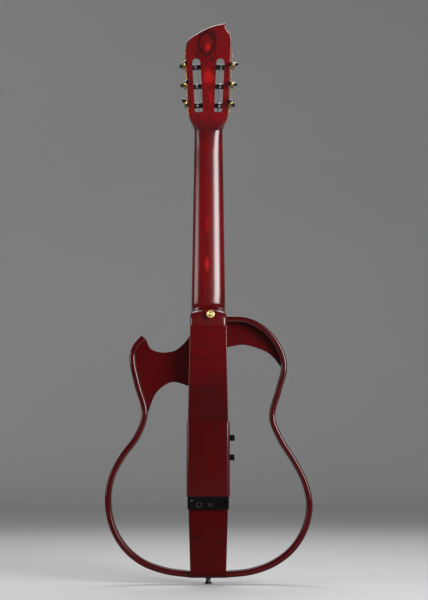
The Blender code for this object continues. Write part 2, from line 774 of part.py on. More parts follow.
def neck_rings():
    """Sections of the neck from inside the heel up to the head."""
    heel_z = up(HEEL_TOP)
    heel_depth = UPPER_BACK - BODY_FRONT
    head_depth = HEAD_THICKNESS * math.cos(HEAD_TILT)
    rings = []
    for rise, share in HEEL_SWEEP:
        depth = between(NECK_DEPTH_HEEL, heel_depth, share)
        half = board_half(heel_z + rise)
        rings.append(neck_ring(lambda y, z=heel_z + rise: z, half, depth, NECK_ROUNDNESS))
    for share in (0.1, 0.3, 0.5, 0.7, 0.88):
        height = between(heel_z, NUT_Z, share)
        depth = between(NECK_DEPTH_HEEL, NECK_DEPTH_NUT, share)
        rings.append(neck_ring(lambda y, z=height: z, board_half(height), depth, NECK_ROUNDNESS))
    for drop, share, squareness in HEAD_BLEND:
        depth = between(NECK_DEPTH_NUT, head_depth, share)
        rings.append(neck_ring(lambda y, d=drop: head_plane(y) - d, HEAD_BASE_HALF, depth, squareness))
    return rings


def make_neck():
    neck = add_object("neck", loft_mesh("neck", neck_rings()), "red wood")
    combine(neck, add_object("heel_block", loft_mesh("heel_block", heel_rings())), "UNION")
    low, high = up(HEEL_TOP) + TRUSS_ROD_FROM_HEEL, NUT_Z - TRUSS_ROD_FROM_NUT
    half = TRUSS_ROD_WIDTH / 2
    channel = box_mesh("rod_channel", (
        (-half - FIT_GAP, BODY_FRONT - CUT_PAST, low - FIT_GAP),
        (half + FIT_GAP, BODY_FRONT + TRUSS_ROD_DEPTH + FIT_GAP, high + FIT_GAP),
    ))
    combine(neck, add_object("rod_channel", channel))
    ends = (0, 0, -STRAP_SHANK_LENGTH - FIT_GAP), (0, 0, HEEL_CREST_RADIUS)
    hole_mesh = rod_mesh("strap_hole", PIN_SHANK_RADIUS + BORE_GAP, *ends)
    combine(neck, add_object("strap_hole", hole_mesh, matrix=strap_button_frame()))
    shade(neck)
    rod = box_mesh("truss_rod", (
        (-half, BODY_FRONT + FIT_GAP, low), (half, BODY_FRONT + TRUSS_ROD_DEPTH, high),
    ))
    add_object("truss_rod", rod, "steel")


def strap_button_frame():
    """Local Z runs out of the heel's crest."""
    reach = HEEL_CREST_RADIUS
    y = UPPER_BACK - reach + reach * math.cos(STRAP_BUTTON_TILT)
    z = up(HEEL_TOP) - reach + reach * math.sin(STRAP_BUTTON_TILT)
    return Matrix.Translation((STRAP_BUTTON_X, y, z)) @ Matrix.Rotation(STRAP_BUTTON_TILT - math.pi / 2, 4, "X")


def make_fingerboard():
    frets = [NUT_Z - SCALE_LENGTH * (1 - 2 ** (-number / 12)) for number in range(1, FRET_COUNT + 1)]
    low = frets[-1] - FINGERBOARD_TAIL
    half, nut_half = board_half(low), board_half(NUT_Z)
    outline = [(half, low), (nut_half, NUT_Z), (-nut_half, NUT_Z), (-half, low)]
    mesh = plate_mesh("fingerboard", [outline], BOARD_FACE, BODY_FRONT - FIT_GAP)
    board = add_object("fingerboard", mesh, "rosewood")
    bars = []
    for z in frets:
        half = board_half(z) - FRET_INSET
        bars.append(((-half, FRET_TOP, z - FRET_WIDTH / 2), (half, BOARD_FACE + JOIN, z + FRET_WIDTH / 2)))
    combine(board, add_object("fret_bars", box_mesh("fret_bars", *bars)), "UNION")
    shade(board)


def string_x(number, spread):
    """Place across the neck of a string, the first at +X."""
    return spread * (0.5 - (number - 1) / (len(STRING_DIAMETERS) - 1))


def make_nut():
    half = NUT_WIDTH / 2
    body = box_mesh("nut", (
        (-half, NUT_STRING_Y, NUT_Z + FIT_GAP), (half, BODY_FRONT - FIT_GAP, HEAD_BASE_Z - FIT_GAP),
    ))
    nut = add_object("nut", body, "bone")
    grooves = []
    for number, diameter in enumerate(STRING_DIAMETERS, 1):
        x = string_x(number, NUT_SPREAD)
        ends = (x, NUT_STRING_Y, NUT_Z - CUT_PAST), (x, NUT_STRING_Y, HEAD_BASE_Z + CUT_PAST)
        grooves.append(rod_mesh("groove", diameter / 2 + FIT_GAP, *ends, segments=8))
    combine(nut, add_object("nut_grooves", joined_mesh("nut_grooves", grooves)))


def head_outline(base_gap):
    """The headstock from the front or back, across and up from the nut."""
    def side_x(height):
        return HEAD_HALF + (height - HEAD_MIDDLE_UP) * math.tan(HEAD_TAPER)
    flare = bent_path([(HEAD_BASE_HALF, base_gap), (side_x(HEAD_LOW_UP), HEAD_LOW_UP)], FLARE_BEND_SHARES, 3)
    tip = (-HEAD_TIP_ACROSS, HEAD_LENGTH)
    crest = bent_path([(side_x(HEAD_CORNER_UP), HEAD_CORNER_UP), tip], CREST_BEND_SHARES, 2)
    notch = bent_path([tip, (-side_x(HEAD_NOTCH_UP), HEAD_NOTCH_UP)], NOTCH_BEND_SHARES, 2)
    return mirrored(flare + crest + notch[1:], 1) + mirrored(flare[::-1], -1)


def side_frame(side):
    """A frame at the middle of one side of the head, turned along that side."""
    place = Matrix.Translation((side * HEAD_HALF, 0, HEAD_MIDDLE_UP))
    return place @ Matrix.Rotation(side * HEAD_TAPER, 4, "Y")


def slot_outline(side):
    """A slot with a round top and a nearly square foot."""
    def corner(across, rise, radius, start, steps):
        angles = [math.radians(start + 22.5 * step) for step in range(steps)]
        return [(across + radius * math.cos(angle), rise + radius * math.sin(angle)) for angle in angles]
    half = SLOT_WIDTH / 2
    beside = half - SLOT_FOOT_CORNER
    foot = SLOT_FOOT_SHORT + SLOT_FOOT_CORNER - SLOT_LENGTH / 2
    middle = -side * SLOT_IN
    return (
        corner(middle, SLOT_LENGTH / 2 - half, half, 0, 9)
        + corner(middle - beside, foot, SLOT_FOOT_CORNER, 180, 5)
        + corner(middle + beside, foot, SLOT_FOOT_CORNER, 270, 5)
    )


def ramp_outline():
    """Side view of the slope that lets the strings down into a slot."""
    slope = SLOT_RAMP_DEPTH / SLOT_RAMP_LENGTH
    face = -HEADPLATE_THICKNESS - FIT_GAP
    low, high = -SLOT_LENGTH / 2 - SLOT_RAMP_LENGTH, SLOT_WIDTH / 2 - SLOT_LENGTH / 2
    return [
        (face - slope * CUT_PAST, low - CUT_PAST), (face - CUT_PAST, high), (face + slope * (high - low), high),
    ]


def scoop_frame(side):
    """Local Y runs out of the head's back and Z out from the edge of the scoop, along the back."""
    top, foot = (Vector((side * across, HEAD_THICKNESS, rise)) for across, rise in HEAD_SCOOP_EDGE)
    edge = (top - foot).normalized()
    out = side * Vector((edge.z, 0, -edge.x))
    axes = Matrix((Vector((out.z, 0, -out.x)), Vector((0, 1, 0)), out)).transposed()
    return Matrix.Translation((top + foot) / 2) @ axes.to_4x4()


def scoop_outlines():
    """Side views of the wedges that cut a scoop, as depth and distance out from its edge."""
    outlines, drop = [], 0
    for index, (out, slope) in enumerate(HEAD_SCOOP_SLOPES):
        rise = math.tan(slope)
        outlines.append([
            (CUT_PAST, out - (CUT_PAST + drop) / rise), (-drop - HEAD_SCOOP_REACH * rise, out + HEAD_SCOOP_REACH),
            (CUT_PAST, out + HEAD_SCOOP_REACH),
        ])
        if index + 1 < len(HEAD_SCOOP_SLOPES):
            drop += (HEAD_SCOOP_SLOPES[index + 1][0] - out) * rise
    return outlines


def make_head(frames):
    front = -HEADPLATE_THICKNESS - FIT_GAP
    head_mesh = plate_mesh("headstock", [head_outline(0)], 0, HEAD_THICKNESS)
    head = add_object("headstock", head_mesh, "red wood", frames["head"])

    def on_back_edge(low, high):
        return min(low.y, high.y) > HEAD_THICKNESS - 1e-5 and max(low.z, high.z) > 1e-5
    round_edges(head, HEAD_EDGE_RADIUS, 2, on_back_edge)
    plate_piece = plate_mesh("headplate", [head_outline(FIT_GAP)], front, -FIT_GAP)
    plate = add_object("headplate", plate_piece, "rosewood", frames["head"])
    for name, side in (("treble", 1), ("bass", -1)):
        slot_piece = plate_mesh("slot", [slot_outline(side)], front - CUT_PAST, HEAD_THICKNESS + CUT_PAST)
        slot = add_object("slot_" + name, slot_piece, parent=frames[name])
        ramp_piece = profile_mesh("ramp", [ramp_outline()], SLOT_WIDTH / 2, -side * SLOT_IN)
        ramp = add_object("ramp_" + name, ramp_piece, parent=frames[name])
        bores = []
        for z in roller_heights():
            ends = (side * CUT_PAST, ROLLER_N, z), (-side * (ROLLER_REACH + BORE_GAP), ROLLER_N, z)
            bores.append(rod_mesh("bore", ROLLER_RADIUS + BORE_GAP, *ends))
        bore = add_object("bores_" + name, joined_mesh("bores", bores), parent=frames[name])
        for obj in (head, plate):
            combine(obj, slot)
            combine(obj, ramp)
        combine(head, bore)
        for outline in scoop_outlines():
            scoop_piece = profile_mesh("scoop", [outline], HEAD_SCOOP_REACH)
            scoop = add_object("scoop_" + name, scoop_piece, parent=frames["head"], matrix=scoop_frame(side))
            combine(head, scoop)
    shade(head)
    shade(plate)


def roller_heights():
    """Heights of the three rollers along a side of the head, lowest first."""
    return [TUNER_MIDDLE_UP + TUNER_SPACING * step for step in (-1, 0, 1)]


def make_tuner_plate(name, side, parent):
    def side_box(out_low, out_high, n_low, n_high, z_low, z_high):
        xs = sorted((side * out_low, side * out_high))
        return ((xs[0], n_low, z_low), (xs[1], n_high, z_high))
    middle, half = TUNER_MIDDLE_UP + WORM_OFFSET, TUNER_PLATE_LENGTH / 2
    n_low, n_high = ROLLER_N - TUNER_PLATE_WIDTH / 2, ROLLER_N + TUNER_PLATE_WIDTH / 2
    sheet = side_box(FIT_GAP, PLATE_OUT, n_low, n_high, middle - half, middle + half)
    plate = add_object(name, box_mesh(name, sheet), "gold", parent)
    lugs, holes = [], []
    lug_half, hole_end = LUG_WIDTH / 2, LUG_END + CUT_PAST
    for z in roller_heights():
        worm_z = z + WORM_OFFSET
        for low, high in ((-LUG_END, -LUG_START), (LUG_START, LUG_END)):
            n_low, n_high = ROLLER_N + low, ROLLER_N + high
            z_low, z_high = worm_z - lug_half, worm_z + lug_half
            lugs.append(side_box(PLATE_OUT - JOIN, LUG_OUT, n_low, n_high, z_low, z_high))
        ends = (-side * CUT_PAST, ROLLER_N, z), (side * (PLATE_OUT + CUT_PAST), ROLLER_N, z)
        holes.append(rod_mesh("hole", ROLLER_NECK_RADIUS + FIT_GAP, *ends))
        ends = [(side * WORM_OUT, ROLLER_N + end, worm_z) for end in (-hole_end, hole_end)]
        holes.append(rod_mesh("hole", WORM_CORE_RADIUS + FIT_GAP, *ends, segments=10))
    combine(plate, add_object(name + "_lugs", box_mesh("lugs", *lugs), parent=parent), "UNION")
    combine(plate, add_object(name + "_holes", joined_mesh("holes", holes), parent=parent))


def gear_outline():
    """Teeth that stand clear of the thread of the worm above them."""
    root, tip = GEAR_PITCH_RADIUS - GEAR_DEDENDUM, GEAR_PITCH_RADIUS + GEAR_ADDENDUM
    pitch = 2 * math.pi / GEAR_TEETH
    phase = 0.5 * (WORM_TURNS % 2)
    outline = []
    for tooth in range(GEAR_TEETH):
        for share, radius in ((-0.25, root), (-0.12, tip), (0.12, tip), (0.25, root)):
            angle = pitch * (tooth + share + phase)
            outline.append((radius * math.sin(angle), radius * math.cos(angle)))
    bore = ROLLER_NECK_RADIUS + FIT_GAP
    angles = [2 * math.pi * step / 12 for step in range(12)]
    return [outline, [(bore * math.sin(angle), bore * math.cos(angle)) for angle in angles]]


def worm_mesh():
    """A right-hand thread on a shaft along Y, its start on the far side of the gear."""
    steps_a_turn = 8
    root, outer = WORM_CORE_RADIUS - JOIN, WORM_OUTER_RADIUS
    start = -WORM_TURNS / 2 * WORM_LEAD
    section = (
        (-THREAD_ROOT_HALF, root), (THREAD_ROOT_HALF, root),
        (THREAD_CREST_HALF, outer), (-THREAD_CREST_HALF, outer),
    )

    def build(shape):
        face = shape.faces.new([shape.verts.new((0, start + along, radius)) for along, radius in section])
        bmesh.ops.spin(
            shape, geom=[face, *face.edges, *face.verts], cent=(0, 0, 0), axis=(0, 1, 0),
            dvec=(0, WORM_LEAD / steps_a_turn, 0), angle=2 * math.pi * WORM_TURNS,
            steps=steps_a_turn * WORM_TURNS, use_duplicate=False,
        )
    return mesh_from("worm_thread", build)


def make_worm(number, matrix, parent):
    end = BUTTON_START + BUTTON_LENGTH + FIT_GAP
    far = -LUG_END - SHAFT_PAST
    head, height = BUTTON_SCREW_RADIUS, BUTTON_SCREW_HEIGHT
    profile = [
        (0, end + height), (head * 0.75, end + height), (head, end + height * 0.6), (head, end),
        (WORM_CORE_RADIUS, end), (WORM_CORE_RADIUS, far), (0, far),
    ]
    turn = Matrix.Rotation(-math.pi / 2, 4, "X")
    shaft = turned("tuner_worm_%d" % number, profile, "steel", matrix @ turn, parent, segments=10)
    thread = worm_mesh()
    thread.transform(turn.inverted())
    combine(shaft, add_object("thread_%d" % number, thread, parent=parent, matrix=matrix @ turn), "UNION")


def button_ring(y, width, thickness):
    ring = []
    for step in range(16):
        angle = 2 * math.pi * step / 16
        across = math.copysign(abs(math.cos(angle)) ** BUTTON_ROUNDNESS, math.cos(angle)) * width / 2
        rise = math.copysign(abs(math.sin(angle)) ** BUTTON_ROUNDNESS, math.sin(angle)) * thickness / 2
        ring.append((across, y, rise))
    return ring


def make_button(number, matrix, parent, lean):
    name = "tuner_button_%d" % number
    rings = [
        button_ring(BUTTON_START + BUTTON_LENGTH * along, BUTTON_WIDTH * wide, BUTTON_THICKNESS * thick)
        for along, wide, thick in BUTTON_SECTION_SHARES
    ]
    mesh = loft_mesh(name, rings)
    mesh.transform(Matrix.Rotation(math.radians(lean), 4, "Y"))
    button = add_object(name, mesh, "black plastic", parent, matrix)
    ends = (0, BUTTON_START - CUT_PAST, 0), (0, BUTTON_START + BUTTON_LENGTH + CUT_PAST, 0)
    bore = rod_mesh("button_bore", WORM_CORE_RADIUS + FIT_GAP, *ends)
    combine(button, add_object("button_bore_%d" % number, bore, parent=parent, matrix=matrix))
    shade(button)


def make_roller(number, side, matrix, parent):
    gear_end = WORM_OUT + GEAR_WIDTH / 2 + FIT_GAP
    top = gear_end + GEAR_SCREW_HEIGHT
    profile = [
        (0, top), (GEAR_SCREW_RADIUS, top), (GEAR_SCREW_RADIUS, gear_end), (ROLLER_NECK_RADIUS, gear_end),
        (ROLLER_NECK_RADIUS, -FIT_GAP), (ROLLER_RADIUS, -FIT_GAP), (ROLLER_RADIUS, -ROLLER_REACH),
        (0, -ROLLER_REACH),
    ]
    out = Matrix.Rotation(side * math.pi / 2, 4, "Y")
    shade(turned("tuner_roller_%d" % number, profile, "black plastic", matrix @ out, parent))
    gear_mesh = profile_mesh("gear", gear_outline(), GEAR_WIDTH / 2, side * WORM_OUT)
    add_object("tuner_gear_%d" % number, gear_mesh, "brass", parent, matrix)


def make_tuners(frames):
    for name, side in (("treble", 1), ("bass", -1)):
        make_tuner_plate("tuner_plate_" + name, side, frames[name])
        for z, (number, lean) in zip(roller_heights(), TUNERS[name]):
            roller_place = Matrix.Translation((0, ROLLER_N, z))
            worm_place = Matrix.Translation((side * WORM_OUT, ROLLER_N, z + WORM_OFFSET))
            make_roller(number, side, roller_place, frames[name])
            make_worm(number, worm_place, frames[name])
            make_button(number, worm_place, frames[name], lean)


def string_path(number, diameter):
    """The way of a string from its tie over the saddle and the nut to its roller."""
    radius = diameter / 2
    bridge_x, nut_x = string_x(number, BRIDGE_SPREAD), string_x(number, NUT_SPREAD)
    hole_y = BODY_FRONT - TIE_HOLE_HEIGHT
    loop_y = BODY_FRONT - BRIDGE_HEIGHT - FIT_GAP - radius
    tail_z, valley_z = bridge_stations()[:2]
    bend = (hole_y - loop_y) / 2
    bend_z = tail_z - FIT_GAP - radius
    path = [Vector((bridge_x, loop_y, valley_z - diameter))]
    for step in range(7):
        angle = math.pi * step / 6
        path.append(Vector((bridge_x, hole_y - bend - bend * math.cos(angle), bend_z - bend * math.sin(angle))))
    path += [
        Vector((bridge_x, hole_y, valley_z + radius)),
        Vector((bridge_x, SADDLE_STRING_Y, SADDLE_Z - SADDLE_CREST)),
        Vector((nut_x, NUT_STRING_Y, NUT_Z)),
        Vector((nut_x, NUT_STRING_Y, HEAD_BASE_Z + FIT_GAP)),
    ]
    side = 1 if number <= 3 else -1
    frame = HEAD_FRAME @ side_frame(side)
    start = frame.inverted() @ path[-1]
    order = [row[0] for row in TUNERS["treble" if side > 0 else "bass"]]
    centre_z = roller_heights()[order.index(number)]
    reach = ROLLER_RADIUS + FIT_GAP + radius
    run, drop = centre_z - start.z, ROLLER_N - start.y
    lead = math.atan2(drop, run) - math.asin(reach / math.hypot(run, drop))
    pitch = diameter + STRING_TURN_GAP
    for step in range(round(WINDING_TURNS * WINDING_POINTS) + 1):
        turn = step / WINDING_POINTS
        angle = lead + 2 * math.pi * turn
        out = pitch * turn - SLOT_IN
        local = Vector((side * out, ROLLER_N - reach * math.cos(angle), centre_z + reach * math.sin(angle)))
        path.append(frame @ local)
    return path


def least_gap(path, diameter):
    """The least gap between turns of the winding, from surface to surface."""
    winding = path[-round(WINDING_TURNS * WINDING_POINTS) - 1:]
    apart = WINDING_POINTS // 2
    distances = [
        (one - other).length for index, one in enumerate(winding) for other in winding[index + apart:]
    ]
    return min(distances) - diameter


def make_strings():
    for number, diameter in enumerate(STRING_DIAMETERS, 1):
        name = "string_%d" % number
        path = string_path(number, diameter)
        finish = "nylon" if number <= 3 else "silvered winding"
        add_object(name, tube_mesh(name, path, diameter / 2), finish)
        print(name, "least gap between turns: %.2f mm" % (least_gap(path, diameter) * 1000))


def bridge_stations():
    """Heights of the bridge's tail, valley, saddle carrier and upper end."""
    top = SADDLE_Z + SADDLE_CARRIER_LENGTH / 2 - SADDLE_FORWARD
    carrier = top - SADDLE_CARRIER_LENGTH
    valley = carrier - BRIDGE_VALLEY_LENGTH
    return valley - TIE_BLOCK_LENGTH, valley, carrier, top


def make_bridge():
    tail, valley, carrier, top = bridge_stations()
    face, floor = BODY_FRONT - BRIDGE_HEIGHT, BODY_FRONT - BRIDGE_VALLEY_HEIGHT
    foot = BODY_FRONT - FIT_GAP
    outline = [
        (foot, tail), (face, tail), (face, valley), (floor, valley), (floor, carrier),
        (face + BRIDGE_REAR_CHAMFER, carrier), (face, carrier + BRIDGE_REAR_CHAMFER),
        (face, top - BRIDGE_FRONT_CHAMFER), (face + BRIDGE_FRONT_CHAMFER, top), (foot, top),
    ]
    bridge = add_object("bridge", profile_mesh("bridge", [outline], BRIDGE_WIDTH / 2), "rosewood")
    slot_floor = BODY_FRONT - SADDLE_SLOT_FLOOR
    half = SADDLE_WIDTH / 2
    rear, front = SADDLE_Z - SADDLE_THICKNESS / 2, SADDLE_Z + SADDLE_THICKNESS / 2
    slot = box_mesh("saddle_slot", (
        (-half - FIT_GAP, face - CUT_PAST, rear - FIT_GAP), (half + FIT_GAP, slot_floor, front + FIT_GAP),
    ))
    combine(bridge, add_object("saddle_slot", slot))
    holes = []
    for number, diameter in enumerate(STRING_DIAMETERS, 1):
        x, y = string_x(number, BRIDGE_SPREAD), BODY_FRONT - TIE_HOLE_HEIGHT
        ends = (x, y, tail - CUT_PAST), (x, y, valley + CUT_PAST)
        holes.append(rod_mesh("hole", diameter / 2 + FIT_GAP, *ends, segments=8))
    combine(bridge, add_object("tie_holes", joined_mesh("tie_holes", holes)))
    pickup_back = slot_floor - FIT_GAP
    pickup_front = pickup_back - PICKUP_THICKNESS
    pickup = box_mesh("piezo_pickup", ((-half, pickup_front, rear), (half, pickup_back, front)))
    add_object("piezo_pickup", pickup, "brass")
    crown = SADDLE_STRING_Y + max(STRING_DIAMETERS) / 2 + FIT_GAP
    side_view = [
        (pickup_front - FIT_GAP, rear), (crown + SADDLE_CHAMFER, rear), (crown, SADDLE_Z - SADDLE_CREST / 2),
        (crown, front), (pickup_front - FIT_GAP, front),
    ]
    add_object("saddle", profile_mesh("saddle", [side_view], half), "bone")


def panel_profile(wall, past):
    """Side view of the jack panel, drawn in by a wall and open towards the block and cover."""
    seat = LOWER_BACK + FIT_GAP - past
    low, high = up(LOWER_BLOCK_TOP) + wall, up(COVER_BOTTOM) - FIT_GAP + past
    depths = [
        PANEL_LOWER_BACK + (z - up(LOWER_BLOCK_TOP)) * math.tan(COVER_TILT) - wall / math.cos(COVER_TILT)
        for z in (low, high)
    ]
    return [(seat, low), (depths[0], low), (depths[1], high), (seat, high)]


def make_cover():
    seat = LOWER_BACK + FIT_GAP
    low, high = up(COVER_BOTTOM), up(COVER_TOP) - FIT_GAP
    shell = box_mesh("electronics_cover", ((-COVER_HALF, seat, low), (COVER_HALF, COVER_BACK, high)))
    cover = add_object("electronics_cover", shell, "red wood")
    round_edges(cover, COVER_EDGE_RADIUS, 3, lambda one, other: min(one.y, other.y) > COVER_BACK - 1e-5)
    inside = COVER_HALF - COVER_WALL
    hollow = box_mesh("cover_hollow", (
        (-inside, seat - CUT_PAST, low - CUT_PAST), (inside, COVER_BACK - COVER_WALL, high - COVER_WALL),
    ))
    combine(cover, add_object("cover_hollow", hollow))
    shade(cover)


def make_jack(name, x, bore, wall, length, frame):
    barrel = bore + wall
    flange = barrel + JACK_FLANGE
    profile = [
        (0, JACK_END - length), (bore, JACK_END - length), (bore, JACK_FLANGE_HEIGHT),
        (flange, JACK_FLANGE_HEIGHT), (flange, FIT_GAP), (barrel, FIT_GAP), (barrel, -length), (0, -length),
    ]
    place = Matrix.Translation((x, 0, JACK_RISE)) @ Matrix.Rotation(-math.pi / 2, 4, "X")
    turned(name, profile, "steel", place, frame)


def jack_end_height():
    """World height of the highest point at the output jack's inner end."""
    end = PANEL_FRAME @ Vector((OUTPUT_JACK_X, -OUTPUT_JACK_LENGTH, JACK_RISE))
    return end.z + (OUTPUT_BORE_RADIUS + OUTPUT_JACK_WALL) * math.cos(COVER_TILT)


def make_panel(frame):
    shell = profile_mesh("jack_panel", [panel_profile(0, 0)], PANEL_HALF)
    panel = add_object("jack_panel", shell, "black plastic")
    hollow = profile_mesh("panel_hollow", [panel_profile(PANEL_WALL, CUT_PAST)], PANEL_HALF - PANEL_WALL)
    combine(panel, add_object("panel_hollow", hollow))
    deep, proud = -PANEL_WALL - CUT_PAST, CUT_PAST
    holes = [
        rod_mesh("hole", radius + FIT_GAP, (x, deep, rise), (x, proud, rise))
        for radius, x, rise in (
            (OUTPUT_BORE_RADIUS + OUTPUT_JACK_WALL, OUTPUT_JACK_X, JACK_RISE),
            (PHONE_BORE_RADIUS + PHONE_JACK_WALL, PHONE_JACK_X, JACK_RISE),
            (SCREW_SHANK_RADIUS, PANEL_SCREW_X, PANEL_SCREW_RISE),
        )
    ]
    slot_half = SWITCH_HALF + FIT_GAP
    holes.append(box_mesh("slot", (
        (SWITCH_X - slot_half, deep, -SWITCH_LENGTH - FIT_GAP),
        (SWITCH_X + slot_half, proud, SWITCH_TRAVEL + FIT_GAP),
    )))
    combine(panel, add_object("panel_holes", joined_mesh("panel_holes", holes), parent=frame))
    make_jack("output_jack", OUTPUT_JACK_X, OUTPUT_BORE_RADIUS, OUTPUT_JACK_WALL, OUTPUT_JACK_LENGTH, frame)
    make_jack("headphone_jack", PHONE_JACK_X, PHONE_BORE_RADIUS, PHONE_JACK_WALL, PHONE_JACK_LENGTH, frame)
    make_switch(frame)
    head, height, shank = SCREW_HEAD_RADIUS, SCREW_HEAD_HEIGHT, SCREW_SHANK_RADIUS
    screw = [
        (0, height), (head * 0.6, height * 0.93), (head, height * 0.43), (head, FIT_GAP), (shank, FIT_GAP),
        (shank, -SCREW_LENGTH), (0, -SCREW_LENGTH),
    ]
    place = Matrix.Translation((PANEL_SCREW_X, 0, PANEL_SCREW_RISE)) @ Matrix.Rotation(-math.pi / 2, 4, "X")
    turned("panel_screw", screw, "steel", place, frame)


def make_switch(frame):
    """A lever that slides up its slot, on a flange behind the panel's wall."""
    back = -PANEL_WALL - FIT_GAP
    lever = ((SWITCH_X - SWITCH_HALF, back - JOIN, -SWITCH_LENGTH), (SWITCH_X + SWITCH_HALF, SWITCH_PROUD, 0))
    flange = (
        (SWITCH_X - SWITCH_FLANGE_HALF, back - SWITCH_FLANGE_THICKNESS, -SWITCH_LENGTH - SWITCH_FLANGE_PAST),
        (SWITCH_X + SWITCH_FLANGE_HALF, back, SWITCH_FLANGE_PAST),
    )
    switch = add_object("slide_switch", box_mesh("slide_switch", lever), "black plastic", frame)
    combine(switch, add_object("switch_flange", box_mesh("switch_flange", flange), parent=frame), "UNION")


def make_electronics():
    floor = CAVITY_FLOOR + FIT_GAP
    cell_z = jack_end_height() + FIT_GAP + CELL_RADIUS
    for number in (1, 2):
        place = Matrix.Translation((0, floor + CELL_RADIUS, cell_z)) @ Matrix.Rotation(math.pi / 2, 4, "Y")
        half = CELL_LENGTH / 2
        profile = [
            (0, half), (CELL_NUB_RADIUS, half), (CELL_NUB_RADIUS, half - CELL_NUB_HEIGHT),
            (CELL_RADIUS, half - CELL_NUB_HEIGHT), (CELL_RADIUS, -half), (0, -half),
        ]
        turned("aa_cell_%d" % number, profile, "cell sleeve", place)
        cell_z += 2 * CELL_RADIUS + BORE_GAP
    make_board(floor, cell_z - CELL_RADIUS)
    for name, height in (("volume_knob", VOLUME_KNOB_UP), ("effect_knob", EFFECT_KNOB_UP)):
        make_knob(name, height)


def make_board(floor, low):
    """The circuit board on its feet, with the two controls and a chip."""
    face = floor + BOARD_FEET
    top = face + BOARD_THICKNESS
    high = up(CAVITY_TOP) - BOARD_TOP_ROOM
    half = CAVITY_HALF - BOARD_SIDE_ROOM
    sheet = box_mesh("preamp_board", ((-half, face, low), (half, top, high)))
    board = add_object("preamp_board", sheet, "circuit board")
    boxes = []
    for x in (BOARD_FOOT_INSET - half, half - BOARD_FOOT_INSET):
        for z in (low + BOARD_FOOT_INSET, high - BOARD_FOOT_INSET):
            side = BOARD_FOOT_SIZE / 2
            boxes.append(((x - side, floor, z - side), (x + side, face + JOIN, z + side)))
    for height in (VOLUME_KNOB_UP, EFFECT_KNOB_UP):
        side = POT_SIZE / 2
        boxes.append((
            (POT_FACE, top - JOIN, up(height) - side), (POT_FACE + POT_DEPTH, KNOB_Y + side, up(height) + side),
        ))
    chip_low = (low + high - CHIP_LENGTH) / 2
    boxes.append(((0, top - JOIN, chip_low), (CHIP_WIDTH, top + CHIP_HEIGHT, chip_low + CHIP_LENGTH)))
    combine(board, add_object("board_parts", box_mesh("board_parts", *boxes)), "UNION")


def make_knob(name, height):
    surface = block_half(height)
    end = FIT_GAP - surface - POT_FACE
    rim = KNOB_RADIUS - KNOB_CHAMFER
    profile = [
        (0, KNOB_LENGTH), (rim, KNOB_LENGTH), (KNOB_RADIUS, KNOB_LENGTH - KNOB_CHAMFER),
        (KNOB_RADIUS, BORE_GAP), (KNOB_SHAFT_RADIUS, BORE_GAP), (KNOB_SHAFT_RADIUS, end), (0, end),
    ]
    place = Matrix.Translation((-surface, KNOB_Y, up(height))) @ Matrix.Rotation(-math.pi / 2, 4, "Y")
    shade(turned(name, profile, "black plastic", place))


def make_pin(name, length, seat, radii, shank_length, finish, place):
    """A strap pin whose foot sits on the wood; local Z runs out along it."""
    radius, waist, foot = radii
    edge, cap, neck, collar = (between(seat, length, share) for share in (0.93, 0.78, 0.57, 0.25))
    profile = [
        (0, length), (radius - PIN_EDGE, length), (radius, edge), (radius, cap), (waist, neck), (waist, collar),
        (foot, seat), (PIN_SHANK_RADIUS, seat), (PIN_SHANK_RADIUS, -shank_length), (0, -shank_length),
    ]
    shade(turned(name, profile, finish, place))


def make_strap_fittings():
    tail = Matrix.Translation((0, 0, END_PIN_LENGTH)) @ Matrix.Rotation(math.pi, 4, "X")
    end_radii = (END_PIN_RADIUS, END_PIN_WAIST, END_PIN_FOOT)
    make_pin("end_pin", END_PIN_LENGTH, FIT_GAP, end_radii, PIN_SHANK_LENGTH, "black plastic", tail)
    heel_radii = (STRAP_BUTTON_RADIUS, STRAP_BUTTON_WAIST, STRAP_BUTTON_FOOT)
    make_pin(
        "strap_button_heel", STRAP_BUTTON_LENGTH, STRAP_SEAT, heel_radii, STRAP_SHANK_LENGTH, "gold",
        strap_button_frame(),
    )


def make_guitar():
    frames = {"head": add_empty("head_frame", HEAD_FRAME)}
    frames["treble"] = add_empty("tuner_frame_treble", side_frame(1), frames["head"])
    frames["bass"] = add_empty("tuner_frame_bass", side_frame(-1), frames["head"])
    make_rim("rim_treble", 1)
    make_rim("rim_bass", -1)
    make_wing("horn_wing", 1, HORN_LOWER_EDGE, HORN_UPPER_EDGE)
    make_wing("shoulder_wing", -1, SHOULDER_LOWER_EDGE, ())
    make_centre_block()
    make_neck()
    make_fingerboard()
    make_nut()
    make_head(frames)
    make_tuners(frames)
    make_strings()
    make_bridge()
    make_cover()
    make_panel(add_empty("panel_frame", PANEL_FRAME))
    make_electronics()
    make_strap_fittings()


make_guitar()
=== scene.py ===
"""Finishes of the silent guitar, in metres, in the frame of its CAD model.

The strings face -Y, the back faces +Y and the neck points up +Z. The script is laid out
as an add-on: its sizes and colours are properties, and each group of pieces has an operator.
"""
import math
from typing import NamedTuple

import bmesh
import bpy
from bpy.props import FloatProperty, FloatVectorProperty, IntProperty, PointerProperty
from bpy.types import Operator, Panel, PropertyGroup
from mathutils import Matrix, Vector


